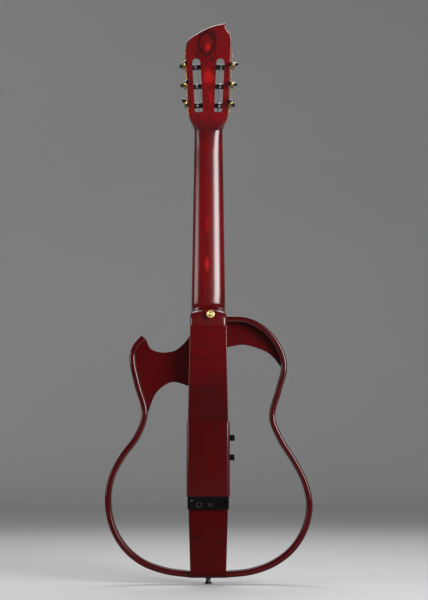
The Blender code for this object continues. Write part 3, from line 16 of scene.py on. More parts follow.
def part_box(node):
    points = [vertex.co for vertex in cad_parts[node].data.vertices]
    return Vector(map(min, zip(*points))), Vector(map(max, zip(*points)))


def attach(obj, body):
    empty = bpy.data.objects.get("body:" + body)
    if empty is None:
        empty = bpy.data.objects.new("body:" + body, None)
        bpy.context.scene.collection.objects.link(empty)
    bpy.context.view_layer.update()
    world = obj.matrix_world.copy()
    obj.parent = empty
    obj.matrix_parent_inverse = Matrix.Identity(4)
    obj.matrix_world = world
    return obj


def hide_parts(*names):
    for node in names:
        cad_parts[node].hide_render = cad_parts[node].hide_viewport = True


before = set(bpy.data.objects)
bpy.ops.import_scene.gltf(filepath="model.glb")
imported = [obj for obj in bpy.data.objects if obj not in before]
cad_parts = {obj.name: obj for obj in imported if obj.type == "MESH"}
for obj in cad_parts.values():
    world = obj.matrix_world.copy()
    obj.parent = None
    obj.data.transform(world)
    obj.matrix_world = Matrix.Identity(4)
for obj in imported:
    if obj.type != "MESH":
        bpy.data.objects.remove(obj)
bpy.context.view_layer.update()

bl_info = {
    "name": "Silent Guitar Finish",
    "version": (1, 0, 0),
    "blender": (4, 5, 0),
    "location": "3D View > Sidebar > Silent Guitar",
    "description": "Lacquer, metal, strings and fittings of the silent guitar",
    "category": "Object",
}

STRINGS = range(1, 7)
NYLON_COUNT = 3
SIDES = {"treble": 1, "bass": -1}

# Places that the CAD model gives: board face, frets, head, panel and strap fittings
BODY_FRONT = -0.017
BOARD_FACE = -0.023
FRET_TOP = -0.024
FRET_COUNT = 19
FRET_INSET = 0.0005
FRET_END = 0.0004
SCALE_LENGTH = 0.650
NUT_Z = 0.827
HEAD_BASE_Z = 0.832
HEAD_TILT = math.radians(15)
HEAD_TAPER = math.radians(3)
HEAD_HALF = 0.0387
HEAD_MIDDLE_UP = 0.0805
HEAD_THICKNESS = 0.018
PLATE_OUT = 0.0019
PANEL_TILT = math.atan2(0.0135, 0.023)
PANEL_CENTRE = (0, 0.04175, 0.1455)
STRAP_TILT = math.radians(8)
STRAP_PLACE = (-0.004, 0.045864, 0.479948)
END_PIN_LENGTH = 0.012
COVER_ROUNDING = 0.0055
COVER_CRISPNESS = 0.0006
COVER_WALL = 0.004
KNOB_LENGTH = 0.0109
KNOB_EDGE = 0.0009
KNOB_SHAFT = 0.003
SHAFT_SUNK = 0.0004
# The pale line on a knob: reach in shares of the radius, half its width, and heights over the top
LINE_REACH = (0.25, 0.78)
LINE_HALF = 0.0003
LINE_RISE = (-0.0001, 0.00008)
# The ridges on the switch: lowest place, step, half size across and up, heights over the panel, edge
SWITCH_RIDGES = 3
RIDGE_FIRST = -0.0031
RIDGE_STEP = 0.0011
RIDGE_HALF = (0.0020, 0.0003)
RIDGE_RISE = (0.0019, 0.0024)
RIDGE_EDGE = 0.0001
# Heights between which the lacquer's coat goes from its low weight to gloss. The low coat near the tail
# is painted shade: it leaves out the pale floor's reflection under the guitar.
SHADE_COAT_HEIGHTS = (0.10, 0.30)
CRISP_ANGLE = math.radians(40)
METAL_SOFTNESS = 0.0002
WELD = 0.00001
TOUCH = 0.000001
KEPT_REACH = 0.0012

# A tuner plate's screws: height from the middle of the plate, and turn of the slot
PLATE_SCREWS = ((-0.0462, 20), (-0.0167, 75), (0.0183, 130), (0.0480, 50), (0.0577, 160))
# Output jack and headphone jack: place across the panel, and radius of the bore
JACK_BORES = ((0.0161, 0.00325), (-0.004, 0.0018))
JACKS_UP = -0.003
# The contact ring in a jack: share of the bore's radius, and height over the panel
RING_PROFILE = (
    (0.82, -0.0045), (0.97, -0.0045), (0.97, -0.0008), (0.90, -0.0008), (0.82, -0.0014),
    (0.82, -0.0045),
)
# The heel button with its stem, and the end pin with its stem: radius and height from the wood
BUTTON_PROFILE = (
    (0, 0.0106), (0.0031, 0.0106), (0.0036, 0.0115), (0.0041, 0.0119), (0.0050, 0.0120),
    (0.0064, 0.0118), (0.0072, 0.0112), (0.0075, 0.0103), (0.0073, 0.0095), (0.0064, 0.0088),
    (0.0050, 0.0080), (0.0042, 0.0068), (0.0040, 0.0052), (0.0042, 0.0036), (0.0048, 0.0022),
    (0.0055, 0.0013), (0.0055, 0.0006), (0.0025, 0.0006), (0.0025, -0.015), (0, -0.015),
)
PIN_PROFILE = (
    (0, 0.0120), (0.0048, 0.0120), (0.0058, 0.0117), (0.0063, 0.0110), (0.0065, 0.0100),
    (0.0063, 0.0092), (0.0056, 0.0084), (0.0046, 0.0074), (0.0042, 0.0058), (0.0042, 0.0040),
    (0.0045, 0.0022), (0.0050, 0.0010), (0.0050, 0.0003), (0.0025, 0.0003), (0.0025, -0.018),
    (0, -0.018),
)
BUTTON_TOP = 0.0106
BUTTON_SCREW = (0.0029, 0.0012)

# Rims and front plates, in metres across and up from the tail. A rim runs through its key points,
# and each bend is a point given by its shares of the way across and up to the next key.
BLOCK_HALVES = ((0.0, 0.0315), (0.122, 0.0350), (0.277, 0.0363), (0.450, 0.0325), (1.0, 0.0325))
RIM_WIDTH = 0.011
RIM_DEPTH = 0.030
RIM_ROUNDING = 0.004
PLATE_THICKNESS = 0.008
PLATE_ROUNDING = 0.0008
PLATE_STEP = 0.001
RIM_KEYS = {
    "treble": ((0.0318, 0), (0.1858, 0.1375), (0.1208, 0.2951), (0.1432, 0.3887), (0.1215, 0.4345)),
    "bass": ((0.0318, 0), (0.1876, 0.1273), (0.1210, 0.2872), (0.1429, 0.3766), (0.0325, 0.470)),
}
RIM_BENDS = {
    "treble": (
        ((0.298, 0.046), (0.579, 0.161), (0.808, 0.376), (0.952, 0.670)),
        ((0.104, 0.272), (0.410, 0.516), (0.804, 0.740)), ((0.562, 0.498),), ((0.245, 0.559),),
    ),
    "bass": (
        ((0.287, 0.038), (0.557, 0.153), (0.787, 0.362), (0.941, 0.658)),
        ((0.127, 0.269), (0.418, 0.515), (0.770, 0.748)), ((0.510, 0.500),),
        ((0.092, 0.418), (0.321, 0.754), (0.637, 0.968)),
    ),
}
# Edges of the plates, from the block out: share of the way to the rim, and height above the tail
PLATE_EDGES = {
    "treble": (
        ((0, 0.343), (0.292, 0.3505), (0.498, 0.3455), (0.735, 0.3295), (0.93, 0.3065), (1, 0.292)),
        ((0.885, 0.4195), (0.750, 0.4104), (0.525, 0.4046), (0.269, 0.4093), (0.064, 0.429),
         (0, 0.443)),
    ),
    "bass": (
        ((0, 0.414), (0.325, 0.4187), (0.560, 0.415), (0.800, 0.405), (0.915, 0.392), (1, 0.378)),
        (),
    ),
}
PLATE_NODES = {"treble": "horn_wing", "bass": "shoulder_wing"}

HEAD_FRAME = Matrix.Translation((0, BODY_FRONT, HEAD_BASE_Z)) @ Matrix.Rotation(-HEAD_TILT, 4, "X")
PANEL_FRAME = Matrix.Translation(PANEL_CENTRE) @ Matrix.Rotation(-PANEL_TILT, 4, "X")
STRAP_FRAME = Matrix.Translation(STRAP_PLACE) @ Matrix.Rotation(STRAP_TILT - math.pi / 2, 4, "X")
TAIL_FRAME = Matrix.Translation((0, 0, END_PIN_LENGTH)) @ Matrix.Rotation(math.pi, 4, "X")

# Camera, lamps and studio. A lamp is its turn round the guitar from the back towards the horn, its
# distance away, its height over the middle, and its size.
AIM = Vector((-0.0103, 0, 0.512))
MIDDLE = Vector((0, 0, 0.6))
SENSOR_WIDTH = 36
LAMPS = {
    "key": (-38, 2.4, 0.35, (1.45, 1.25)),
    "side": (68, 2.6, 0.15, (1.7, 1.05)),
    "front": (180, 1.5, 2.2, (2.2, 1.6)),
}
LAMP_SPREAD = math.radians(100)
FLOOR_HALF = 7
WALL_BEND_Y = -4.2
WALL_BEND_RADIUS = 1.8
WALL_HEIGHT = 5


class Knot(NamedTuple):
    """A knot in the wood, seen along Y: its rings reach as many sizes from its centre as it says."""

    centre: tuple
    size: tuple
    rings: float
    reach: float
    dark: float
    heart: float


class ShadeFade(NamedTuple):
    """Painted shade: the wood darkens towards the grain colour by a share at one height and is clear at
    another.
    """

    darkest: float
    clear: float
    share: float


# Figure of the head, from the flow round its knot down to the flame, and of the neck
HEAD_KNOTS = (
    Knot((0.0030, 0, 0.9790), (0.0170, 1, 0.036), 15.0, 1.9, 0.50, 0.0),
    Knot((0.0, 0, 0.9220), (0.013, 1, 0.022), 5.0, 1.3, 0.25, 0.80),
    Knot((-0.0050, 0, 0.8850), (0.006, 1, 0.030), 4.0, 1.4, 0.20, 0.45),
    Knot((0.0034, 0, 0.9815), (0.0108, 1, 0.0160), 6.0, 2.4, 0.95, 0.0),
    Knot((0.0016, 0, 0.9745), (0.0056, 1, 0.0110), 4.0, 1.2, 0.0, 0.9),
)
NECK_KNOTS = (
    Knot((0.0025, 0, 0.5764), (0.0050, 1, 0.017), 5.0, 1.9, 0.6, 0.85),
    Knot((0.0020, 0, 0.6516), (0.0050, 1, 0.026), 5.0, 1.7, 0.35, 0.40),
)
# Painted shade by height: the head's downward-facing foot, the neck by the head and above the heel, the
# block's top by the heel and its lower half.
HEAD_SHADE_FADES = (ShadeFade(0.832, 0.852, 0.60),)
NECK_SHADE_FADES = (ShadeFade(0.835, 0.790, 0.50), ShadeFade(0.465, 0.570, 0.44))
BLOCK_SHADE_FADES = (ShadeFade(0.335, 0.41, 0.55), ShadeFade(0.475, 0.43, 0.20))


class GuitarColours(PropertyGroup):
    """Colours of the wood, metal and plastic."""

    def colour(label, note, default):
        return FloatVectorProperty(
            name=label, description=note, default=default, size=3, min=0, max=1, subtype="COLOR",
        )

    red: colour("Red stain", "Lit red of the lacquered wood", (0.152, 0.0006, 0.0020))
    # The grain colour is also the dark that the height fades mix in as painted shade.
    grain: colour("Grain", "Dark streaks under the red lacquer", (0.016, 0.0006, 0.0012))
    flame: colour("Flame", "Bright figure beside the knots", (0.33, 0.004, 0.005))
    rosewood: colour("Rosewood", "Fingerboard, bridge and head veneer", (0.050, 0.022, 0.013))
    rosewood_dark: colour("Rosewood pores", "Dark lines of the rosewood", (0.010, 0.005, 0.004))
    black: colour("Black plastic", "Panel, buttons, rollers and knobs", (0.0035, 0.0035, 0.004))
    gold: colour("Gold plate", "Tuner plates and strap button", (0.83, 0.55, 0.19))
    brass: colour("Brass", "Gears of the tuners", (0.62, 0.44, 0.20))
    steel: colour("Steel", "Frets, screws and jacks", (0.62, 0.61, 0.59))
    bone: colour("Bone", "Nut and saddle", (0.80, 0.74, 0.60))
    nylon: colour("Nylon", "Plain treble strings", (0.80, 0.80, 0.76))
    silver: colour("Winding", "Silvered wire of the bass strings", (0.72, 0.70, 0.66))
    board: colour("Circuit board", "Board inside the body", (0.015, 0.11, 0.045))
    sleeve: colour("Cell sleeve", "Sleeve of the battery cells", (0.05, 0.07, 0.10))
    backdrop: colour("Backdrop", "Floor and wall of the studio", (0.64, 0.64, 0.64))


class GuitarSizes(PropertyGroup):
    """Sizes of the fitted details."""

    def length(label, note, default):
        return FloatProperty(name=label, description=note, default=default, unit="LENGTH")

    fret_width: length("Fret width", "Width of a fret's crown", 0.0021)
    plate_screw: length("Plate screw", "Radius of a tuner plate's screw head", 0.0021)
    plate_screw_rise: length("Screw rise", "Height of a tuner plate's screw head", 0.0013)
    winding_pitch: length("Winding pitch", "Pitch of the wire round a bass string", 0.00042)
    knurl_depth: length("Knurl depth", "Depth of the grooves round a knob", 0.0003)
    knurls: IntProperty(
        name="Knurls", description="Number of grooves round a knob", default=30, min=6)
    edge_softness: length("Edge softness", "Rounding of crisp edges", 0.0003)
    lacquer: length("Lacquer", "Thickness of the lacquer on the wood", 0.00018)


class GuitarStage(PropertyGroup):
    """Camera and lamps."""

    def power(label, note, default):
        return FloatProperty(name=label, description=note, default=default, unit="POWER")

    lens: FloatProperty(
        name="Lens", description="Focal length of the camera in millimetres", default=90, unit="CAMERA")
    distance: FloatProperty(
        name="Distance", description="From the camera to the middle of the guitar",
        default=2.741, unit="LENGTH")
    rise: FloatProperty(
        name="Rise", description="How far the camera looks up along the guitar",
        default=math.radians(6.0), subtype="ANGLE")
    key_power: power("Key power", "Tall bright lamp beside the camera", 27)
    side_power: power("Side power", "Broad lamp at the horn's side", 8)
    front_power: power("Front power", "Broad lamp above, on the strings' side", 14)
    fill: FloatProperty(
        name="Fill", description="Light of the room in the shadows", default=0.26)
    grey: FloatProperty(
        name="Grey", description="How bright the room looks, also in the lacquer", default=0.07)


def settings():
    """The colours, the sizes and the stage."""
    scene = bpy.context.scene
    return scene.guitar_colours, scene.guitar_sizes, scene.guitar_stage


# Shader nodes

def add_node(tree, kind, inputs=None, **values):
    """A node with its sockets set or linked."""
    node = tree.nodes.new(kind)
    for key, value in values.items():
        setattr(node, key, value)
    for key, value in (inputs or {}).items():
        socket = node.inputs[key]
        if isinstance(value, bpy.types.NodeSocket):
            tree.links.new(value, socket)
        elif socket.type == "RGBA" and len(value) == 3:
            socket.default_value = (*value, 1)
        else:
            socket.default_value = value
    return node


def noise(tree, vector, scale, detail=3.0, distortion=0.0, stretch=None):
    """A noise value, drawn out along the axes by the stretch."""
    if stretch:
        vector = add_node(tree, "ShaderNodeMapping", {"Vector": vector, "Scale": stretch}).outputs[0]
    inputs = {"Vector": vector, "Scale": scale, "Detail": detail, "Distortion": distortion}
    return add_node(tree, "ShaderNodeTexNoise", inputs).outputs["Fac"]


def between(tree, value, low, high, out_low=0.0, out_high=1.0):
    """The value carried smoothly from one range to another."""
    inputs = {"Value": value, "From Min": low, "From Max": high, "To Min": out_low, "To Max": out_high}
    node = add_node(tree, "ShaderNodeMapRange", inputs, interpolation_type="SMOOTHSTEP")
    return node.outputs["Result"]


def worked(tree, operation, first, second):
    """Two values put through a Math node."""
    return add_node(tree, "ShaderNodeMath", {0: first, 1: second}, operation=operation).outputs[0]


def mix_colour(tree, share, first, second):
    """The first colour turned into the second by the share."""
    node = add_node(tree, "ShaderNodeMix", {0: share, 6: first, 7: second}, data_type="RGBA")
    return node.outputs[2]


def node_group(name, inputs, outputs, build):
    """A shader group from (name, socket kind, default) rows, built once."""
    tree = bpy.data.node_groups.get(name)
    if tree:
        return tree
    tree = bpy.data.node_groups.new(name, "ShaderNodeTree")
    for label, kind, default in inputs:
        socket = tree.interface.new_socket(label, in_out="INPUT", socket_type="NodeSocket" + kind)
        if default is not None:
            socket.default_value = default
    for label, kind in outputs:
        tree.interface.new_socket(label, in_out="OUTPUT", socket_type="NodeSocket" + kind)
    start, end = tree.nodes.new("NodeGroupInput"), tree.nodes.new("NodeGroupOutput")
    for label, value in build(tree, start.outputs).items():
        tree.links.new(value, end.inputs[label])
    return tree


def stained_grain():
    """Streaks along Z, cross curl and soft clouds under a stain."""
    def build(tree, given):
        vector = given["Vector"]
        lines = between(tree, noise(tree, vector, 1, 4, 0.8, (270, 270, 6)), 0.46, 0.72)
        bands = between(tree, noise(tree, vector, 1, 3, 1.6, (62, 62, 3.4)), 0.44, 0.72)
        curl = between(tree, noise(tree, vector, 1, 2, 0.6, (12, 12, 105)), 0.42, 0.78)
        cloud = between(tree, noise(tree, vector, 11, 2), 0.35, 0.75)
        streaks = worked(tree, "MULTIPLY", worked(tree, "ADD", lines, bands), given["Streaks"])
        cross = worked(tree, "MULTIPLY", curl, given["Curl"])
        soft = worked(tree, "MULTIPLY", cloud, given["Clouds"])
        share = worked(tree, "ADD", worked(tree, "ADD", streaks, cross), soft)
        share = between(tree, share, 0, 1.2)
        return {
            "Color": mix_colour(tree, share, given["Stain"], given["Grain"]),
            "Roughness": between(tree, cloud, 0, 1, 0.24, 0.34),
            "Height": worked(tree, "SUBTRACT", 1.0, lines),
        }
    return node_group(
        "Stained grain",
        [("Vector", "Vector", None), ("Stain", "Color", (0.2, 0, 0, 1)),
         ("Grain", "Color", (0, 0, 0, 1)), ("Streaks", "Float", 0.4), ("Curl", "Float", 0.2),
         ("Clouds", "Float", 0.3)],
        [("Color", "Color"), ("Roughness", "Float"), ("Height", "Float")], build)


def knot_figure():
    """Wavy dark rings round a lighter heart, seen along Y."""
    def build(tree, given):
        kind = "ShaderNodeVectorMath"
        away = add_node(tree, kind, {0: given["Vector"], 1: given["Centre"]}, operation="SUBTRACT")
        shares = add_node(tree, kind, {0: away.outputs[0], 1: given["Size"]}, operation="DIVIDE")
        length = add_node(tree, kind, {0: shares.outputs[0]}, operation="LENGTH").outputs["Value"]
        wave = between(tree, noise(tree, given["Vector"], 75, 3, 0.5, (1, 1, 0.5)), 0, 1, -0.45, 0.45)
        distance = worked(tree, "ADD", length, wave)
        turns = worked(tree, "MULTIPLY", distance, given["Rings"])
        waves = add_node(tree, "ShaderNodeMath", {0: turns}, operation="SINE").outputs[0]
        rings = between(tree, waves, -0.5, 1)
        reach = between(tree, distance, 1.0, given["Reach"], 1, 0)
        inner = between(tree, distance, 0.35, 0.75)
        return {
            "Rings": worked(tree, "MULTIPLY", worked(tree, "MULTIPLY", rings, reach), inner),
            "Heart": between(tree, distance, 0.25, 0.95, 1, 0),
        }
    return node_group(
        "Knot figure",
        [("Vector", "Vector", None), ("Centre", "Vector", (0, 0, 0)),
         ("Size", "Vector", (0.01, 1, 0.02)), ("Rings", "Float", 6), ("Reach", "Float", 2.2)],
        [("Rings", "Float"), ("Heart", "Float")], build)


def fine_surface():
    """Small changes of gloss and a fine grain, for plastic, metal and bone."""
    def build(tree, given):
        smudge = noise(tree, given["Vector"], 45, 3, 0.4)
        grain = noise(tree, given["Vector"], given["Scale"], 2)
        lifted = worked(tree, "ADD", given["Low"], worked(tree, "MULTIPLY", smudge, given["Range"]))
        return {"Roughness": lifted, "Height": grain, "Smudge": between(tree, smudge, 0.35, 0.7)}
    return node_group(
        "Fine surface",
        [("Vector", "Vector", None), ("Scale", "Float", 900), ("Low", "Float", 0.2),
         ("Range", "Float", 0.2)],
        [("Roughness", "Float"), ("Height", "Float"), ("Smudge", "Float")], build)


def new_material(name):
    """A material with its shader and its object coordinates."""
    material = bpy.data.materials.new(name)
    material.use_nodes = True
    tree = material.node_tree
    shader = tree.nodes["Principled BSDF"]
    vector = add_node(tree, "ShaderNodeTexCoord").outputs["Object"]
    return material, tree, shader, vector


def set_bump(tree, shader, height, distance):
    """Fine relief from a height."""
    inputs = {"Height": height, "Distance": distance, "Strength": 1.0}
    tree.links.new(add_node(tree, "ShaderNodeBump", inputs).outputs[0], shader.inputs["Normal"])


def wood(name, depth, streaks, curl, clouds, knots=(), shade_fades=(), coat=(0.75, 0.75), haze=0.12):
    """Red lacquered wood, its stain as deep as the depth's share of the lit red. The smaller depths of
    the block, plates, rims and cover are painted shade: the wood has one red stain, drawn darker where
    less light falls.

    The coat is its weight near the tail and higher up, and the haze is its roughness. A lower coat
    near the tail is painted shade: it leaves out the pale floor's reflection there.
    """
    colours = settings()[0]
    material, tree, shader, vector = new_material(name)
    grain = add_node(tree, "ShaderNodeGroup", node_tree=stained_grain())
    tree.links.new(vector, grain.inputs["Vector"])
    # Painted shade: the lit red scaled by the part's depth, which is smaller for the lower and recessed
    # parts.
    grain.inputs["Stain"].default_value = (*(part * depth for part in colours.red), 1)
    grain.inputs["Grain"].default_value = (*colours.grain, 1)
    for label, value in (("Streaks", streaks), ("Curl", curl), ("Clouds", clouds)):
        grain.inputs[label].default_value = value
    colour = grain.outputs["Color"]
    for knot in knots:
        figure = add_node(tree, "ShaderNodeGroup", node_tree=knot_figure())
        tree.links.new(vector, figure.inputs["Vector"])
        for label in ("Centre", "Size", "Rings", "Reach"):
            figure.inputs[label].default_value = getattr(knot, label.lower())
        share = worked(tree, "MULTIPLY", figure.outputs["Heart"], knot.heart)
        colour = mix_colour(tree, share, colour, colours.flame)
        share = worked(tree, "MULTIPLY", figure.outputs["Rings"], knot.dark)
        colour = mix_colour(tree, share, colour, colours.grain)
    height = add_node(tree, "ShaderNodeSeparateXYZ", {0: vector}).outputs["Z"]
    # Painted shade: each fade mixes the colour towards the grain colour over its heights.
    for shade_fade in shade_fades:
        share = between(tree, height, shade_fade.darkest, shade_fade.clear, shade_fade.share, 0)
        colour = mix_colour(tree, share, colour, colours.grain)
    tree.links.new(colour, shader.inputs["Base Color"])
    tree.links.new(grain.outputs["Roughness"], shader.inputs["Roughness"])
    set_bump(tree, shader, grain.outputs["Height"], 0.00002)
    # A coat lower near the tail is painted shade: it leaves out the pale floor's reflection there.
    if coat[0] == coat[1]:
        shader.inputs["Coat Weight"].default_value = coat[0]
    else:
        tree.links.new(between(tree, height, *SHADE_COAT_HEIGHTS, *coat), shader.inputs["Coat Weight"])
    shader.inputs["Coat Roughness"].default_value = haze
    shader.inputs["Specular IOR Level"].default_value = 0.05
    return material


def plain(name, colour, low, spread, scale=900, bump=0.000004, metallic=0.0, **sockets):
    """A plastic, metal or bone finish with small changes of gloss."""
    material, tree, shader, vector = new_material(name)
    surface = add_node(tree, "ShaderNodeGroup", node_tree=fine_surface())
    tree.links.new(vector, surface.inputs["Vector"])
    for label, value in (("Scale", scale), ("Low", low), ("Range", spread)):
        surface.inputs[label].default_value = value
    darker = tuple(part * 0.82 for part in colour)
    colour = mix_colour(tree, surface.outputs["Smudge"], colour, darker)
    tree.links.new(colour, shader.inputs["Base Color"])
    tree.links.new(surface.outputs["Roughness"], shader.inputs["Roughness"])
    shader.inputs["Metallic"].default_value = metallic
    for label, value in sockets.items():
        shader.inputs[label.replace("_", " ")].default_value = value
    set_bump(tree, shader, surface.outputs["Height"], bump)
    return material


def rosewood():
    """Dark open-pored wood with its grain along Z."""
    colours = settings()[0]
    material, tree, shader, vector = new_material("rosewood")
    bands = between(tree, noise(tree, vector, 1, 4, 1.2, (120, 120, 3)), 0.35, 0.7)
    pores = between(tree, noise(tree, vector, 1, 2, 0.2, (1300, 1300, 45)), 0.60, 0.72)
    share = worked(tree, "MAXIMUM", bands, pores)
    colour = mix_colour(tree, share, colours.rosewood, colours.rosewood_dark)
    tree.links.new(colour, shader.inputs["Base Color"])
    tree.links.new(between(tree, bands, 0, 1, 0.42, 0.58), shader.inputs["Roughness"])
    set_bump(tree, shader, worked(tree, "SUBTRACT", 1.0, pores), 0.00008)
    return material


def wound_string():
    """Silvered wire wound tightly round a core, its turns across Z, with painted shade in the grooves
    between the turns.
    """
    colours, sizes, _ = settings()
    material, tree, shader, vector = new_material("wound_string")
    turns = add_node(tree, "ShaderNodeTexWave", {
        "Vector": vector, "Scale": 1 / sizes.winding_pitch / math.pi,
    }, wave_type="BANDS", bands_direction="Z").outputs["Fac"]
    # Painted shade: the grooves between the turns are drawn darker than the silver.
    dark = tuple(part * 0.45 for part in colours.silver)
    tree.links.new(mix_colour(tree, turns, dark, colours.silver), shader.inputs["Base Color"])
    roughness = between(tree, noise(tree, vector, 60), 0.3, 0.7, 0.22, 0.36)
    tree.links.new(roughness, shader.inputs["Roughness"])
    shader.inputs["Metallic"].default_value = 1.0
    set_bump(tree, shader, turns, 0.00012)
    return material


# Shapes

def bevel(shape, edges, offset, segments):
    """Rounds some edges of a shape, taken in the shape's own order."""
    chosen = set(edges)
    bmesh.ops.bevel(
        shape, geom=[edge for edge in shape.edges if edge in chosen], offset=offset, segments=segments,
        profile=0.5, affect="EDGES", material=-1)


def between_ends(low, high, share):
    """The value at a share of the way from low to high."""
    return low + (high - low) * share


def smooth_path(points, steps=10):
    """Points on a smooth curve through the given ones, with steps a span."""
    points = [Vector(point) for point in points]
    ends = [2 * points[0] - points[1]] + points + [2 * points[-1] - points[-2]]
    path = []
    for before, start, end, after in zip(ends, ends[1:], ends[2:], ends[3:]):
        leave, arrive = (end - before) / 2, (after - start) / 2
        for step in range(steps):
            t = step / steps
            path.append(
                start * (2 * t**3 - 3 * t**2 + 1) + leave * (t**3 - 2 * t**2 + t)
                + end * (3 * t**2 - 2 * t**3) + arrive * (t**3 - t**2))
    return path + [points[-1]]


def rim_path(side):
    """The outer edge of a rim, from the tail up."""
    keys = RIM_KEYS[side]
    points = []
    for start, end, bends in zip(keys, keys[1:], RIM_BENDS[side]):
        points.append(start)
        for x, z in bends:
            points.append((between_ends(start[0], end[0], x), between_ends(start[1], end[1], z)))
    return smooth_path(points + [keys[-1]])


def inside_path(path, distance, closed_on_block):
    """The path moved inwards, square to the block where it meets it."""
    moved = []
    for index, point in enumerate(path):
        ahead = path[min(index + 1, len(path) - 1)] - path[max(index - 1, 0)]
        moved.append(point + Vector((-ahead.y, ahead.x)).normalized() * distance)
    moved[0].x = path[0].x
    if closed_on_block:
        moved[-1].x = path[-1].x
    return moved


def beside_block(height):
    """Half the width of the centre block at a height above the tail."""
    for (low, low_half), (high, high_half) in zip(BLOCK_HALVES, BLOCK_HALVES[1:]):
        if height <= high:
            return between_ends(low_half, high_half, (height - low) / (high - low))
    return BLOCK_HALVES[-1][1]


def path_at(path, height):
    """How far across a rising path is at a height, or its upper end where it stops lower."""
    for low, high in zip(path, path[1:]):
        if low.y <= height <= high.y:
            return between_ends(low.x, high.x, (height - low.y) / (high.y - low.y))
    return path[-1].x


def plate_edge(rim, points, start=()):
    """One edge of a plate between the block and a rim, from the start if one is given."""
    places = [(between_ends(beside_block(z), path_at(rim, z), share), z) for share, z in points]
    return smooth_path([*start, *places], 8)[len(start):] if places else []


def add_slab(shape, outline, side, depth, rounding=0.0, kept=()):
    """Adds a flat piece behind the body's front, rounded except at the kept places."""
    corners = [shape.verts.new((SIDES[side] * x, BODY_FRONT, z + END_PIN_LENGTH)) for x, z in outline]
    front = shape.faces.new(corners)
    grown = bmesh.ops.extrude_face_region(shape, geom=[front])["geom"]
    back = [item for item in grown if isinstance(item, bmesh.types.BMVert)]
    bmesh.ops.translate(shape, vec=(0, depth, 0), verts=back)
    if not rounding:
        return
    edges = []
    for edge in shape.edges:
        low, high = (vert.co for vert in edge.verts)
        middle = Vector((SIDES[side] * (low.x + high.x) / 2, (low.z + high.z) / 2 - END_PIN_LENGTH))
        on_face = abs(low.y - high.y) < TOUCH
        if on_face and all((middle - Vector(place)).length > KEPT_REACH for place in kept):
            edges.append(edge)
    bevel(shape, edges, rounding, 5)


def numbered(name):
    """The six nodes of that name, one for each string."""
    return ["%s_%d" % (name, number) for number in STRINGS]


def soften(piece, width):
    """A live modifier that rounds crisp edges."""
    softer = piece.modifiers.new("Bevel", "BEVEL")
    softer.width = width
    softer.segments = 2
    softer.limit_method = "ANGLE"
    softer.angle_limit = CRISP_ANGLE


def keep_flat(piece):
    """A live modifier that keeps flat faces flat beside rounded edges."""
    piece.modifiers.new("Weighted Normal", "WEIGHTED_NORMAL").keep_sharp = True


def finish_edges(piece, softness):
    """Rounded crisp edges beside flat faces."""
    soften(piece, softness)
    keep_flat(piece)


def dress(names, material, split=38.0, softness=0.0):
    """Gives CAD nodes their material, smooth shading and, if asked, softened edges."""
    for name in names:
        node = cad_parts[name]
        for slot in node.material_slots:
            slot.material = material
        with bpy.context.temp_override(object=node, active_object=node):
            if node.data.has_custom_normals:
                bpy.ops.mesh.customdata_custom_splitnormals_clear()
        node.data.shade_smooth()
        weld = node.modifiers.new("Weld", "WELD")
        weld.merge_threshold = WELD
        if softness:
            soften(node, softness)
        cut = node.modifiers.new("Edge Split", "EDGE_SPLIT")
        cut.split_angle = math.radians(split)
        keep_flat(node)


def add_lacquered(node, material):
    """A wooden CAD node under a coat of lacquer, which closes the joints to its neighbours."""
    sizes = settings()[1]
    shape = bmesh.new()
    shape.from_mesh(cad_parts[node].data)
    bmesh.ops.remove_doubles(shape, verts=shape.verts, dist=WELD)
    bmesh.ops.recalc_face_normals(shape, faces=shape.faces)
    moves = [vert.normal * sizes.lacquer * min(vert.calc_shell_factor(), 2) for vert in shape.verts]
    for vert, move in zip(shape.verts, moves):
        vert.co += move
    bmesh.ops.dissolve_limit(
        shape, angle_limit=math.radians(0.2), verts=shape.verts, edges=shape.edges, delimit=set())
    piece = add_piece(node + "_lacquered", shape, material, "guitar", [node], 60)
    finish_edges(piece, sizes.edge_softness)


def add_piece(name, shape, material, body, replaces=(), sharp=35.0):
    """Makes a piece of the shape, which is used up, and puts it on its body."""
    bmesh.ops.remove_doubles(shape, verts=shape.verts, dist=TOUCH)
    bmesh.ops.recalc_face_normals(shape, faces=shape.faces)
    mesh = bpy.data.meshes.new(name)
    shape.to_mesh(mesh)
    shape.free()
    mesh.shade_smooth()
    mesh.set_sharp_from_angle(angle=math.radians(sharp))
    piece = bpy.data.objects.new(name, mesh)
    bpy.context.scene.collection.objects.link(piece)
    mesh.materials.append(material)
    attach(piece, body)
    if replaces:
        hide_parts(*replaces)
    return piece


def mark_made(shape):
    """Marks what the shape holds, so that a later turned form leaves it where it is."""
    for vert in shape.verts:
        vert.tag = True


def add_turned(shape, profile, place, segments=40):
    """Adds a turned form about the place's Z, from radius and height pairs that start and end on it."""
    points = [shape.verts.new((radius, 0, height)) for radius, height in profile]
    edges = [shape.edges.new(pair) for pair in zip(points, points[1:])]
    bmesh.ops.spin(
        shape, geom=points + edges, cent=(0, 0, 0), axis=(0, 0, 1), angle=2 * math.pi,
        steps=segments, use_merge=True, use_duplicate=False)
    made = [vert for vert in shape.verts if not vert.tag]
    bmesh.ops.transform(shape, matrix=place, verts=made)
    mark_made(shape)


def add_box(shape, low, high, place, softness=0.0):
    """Adds a box between two corners, its edges rounded by the softness."""
    low, high = Vector(low), Vector(high)
    place = place @ Matrix.Translation((low + high) / 2) @ Matrix.Diagonal((*(high - low), 1))
    corners = bmesh.ops.create_cube(shape, size=1, matrix=place)["verts"]
    if softness:
        bevel(shape, {edge for vert in corners for edge in vert.link_edges}, softness, 2)
    mark_made(shape)


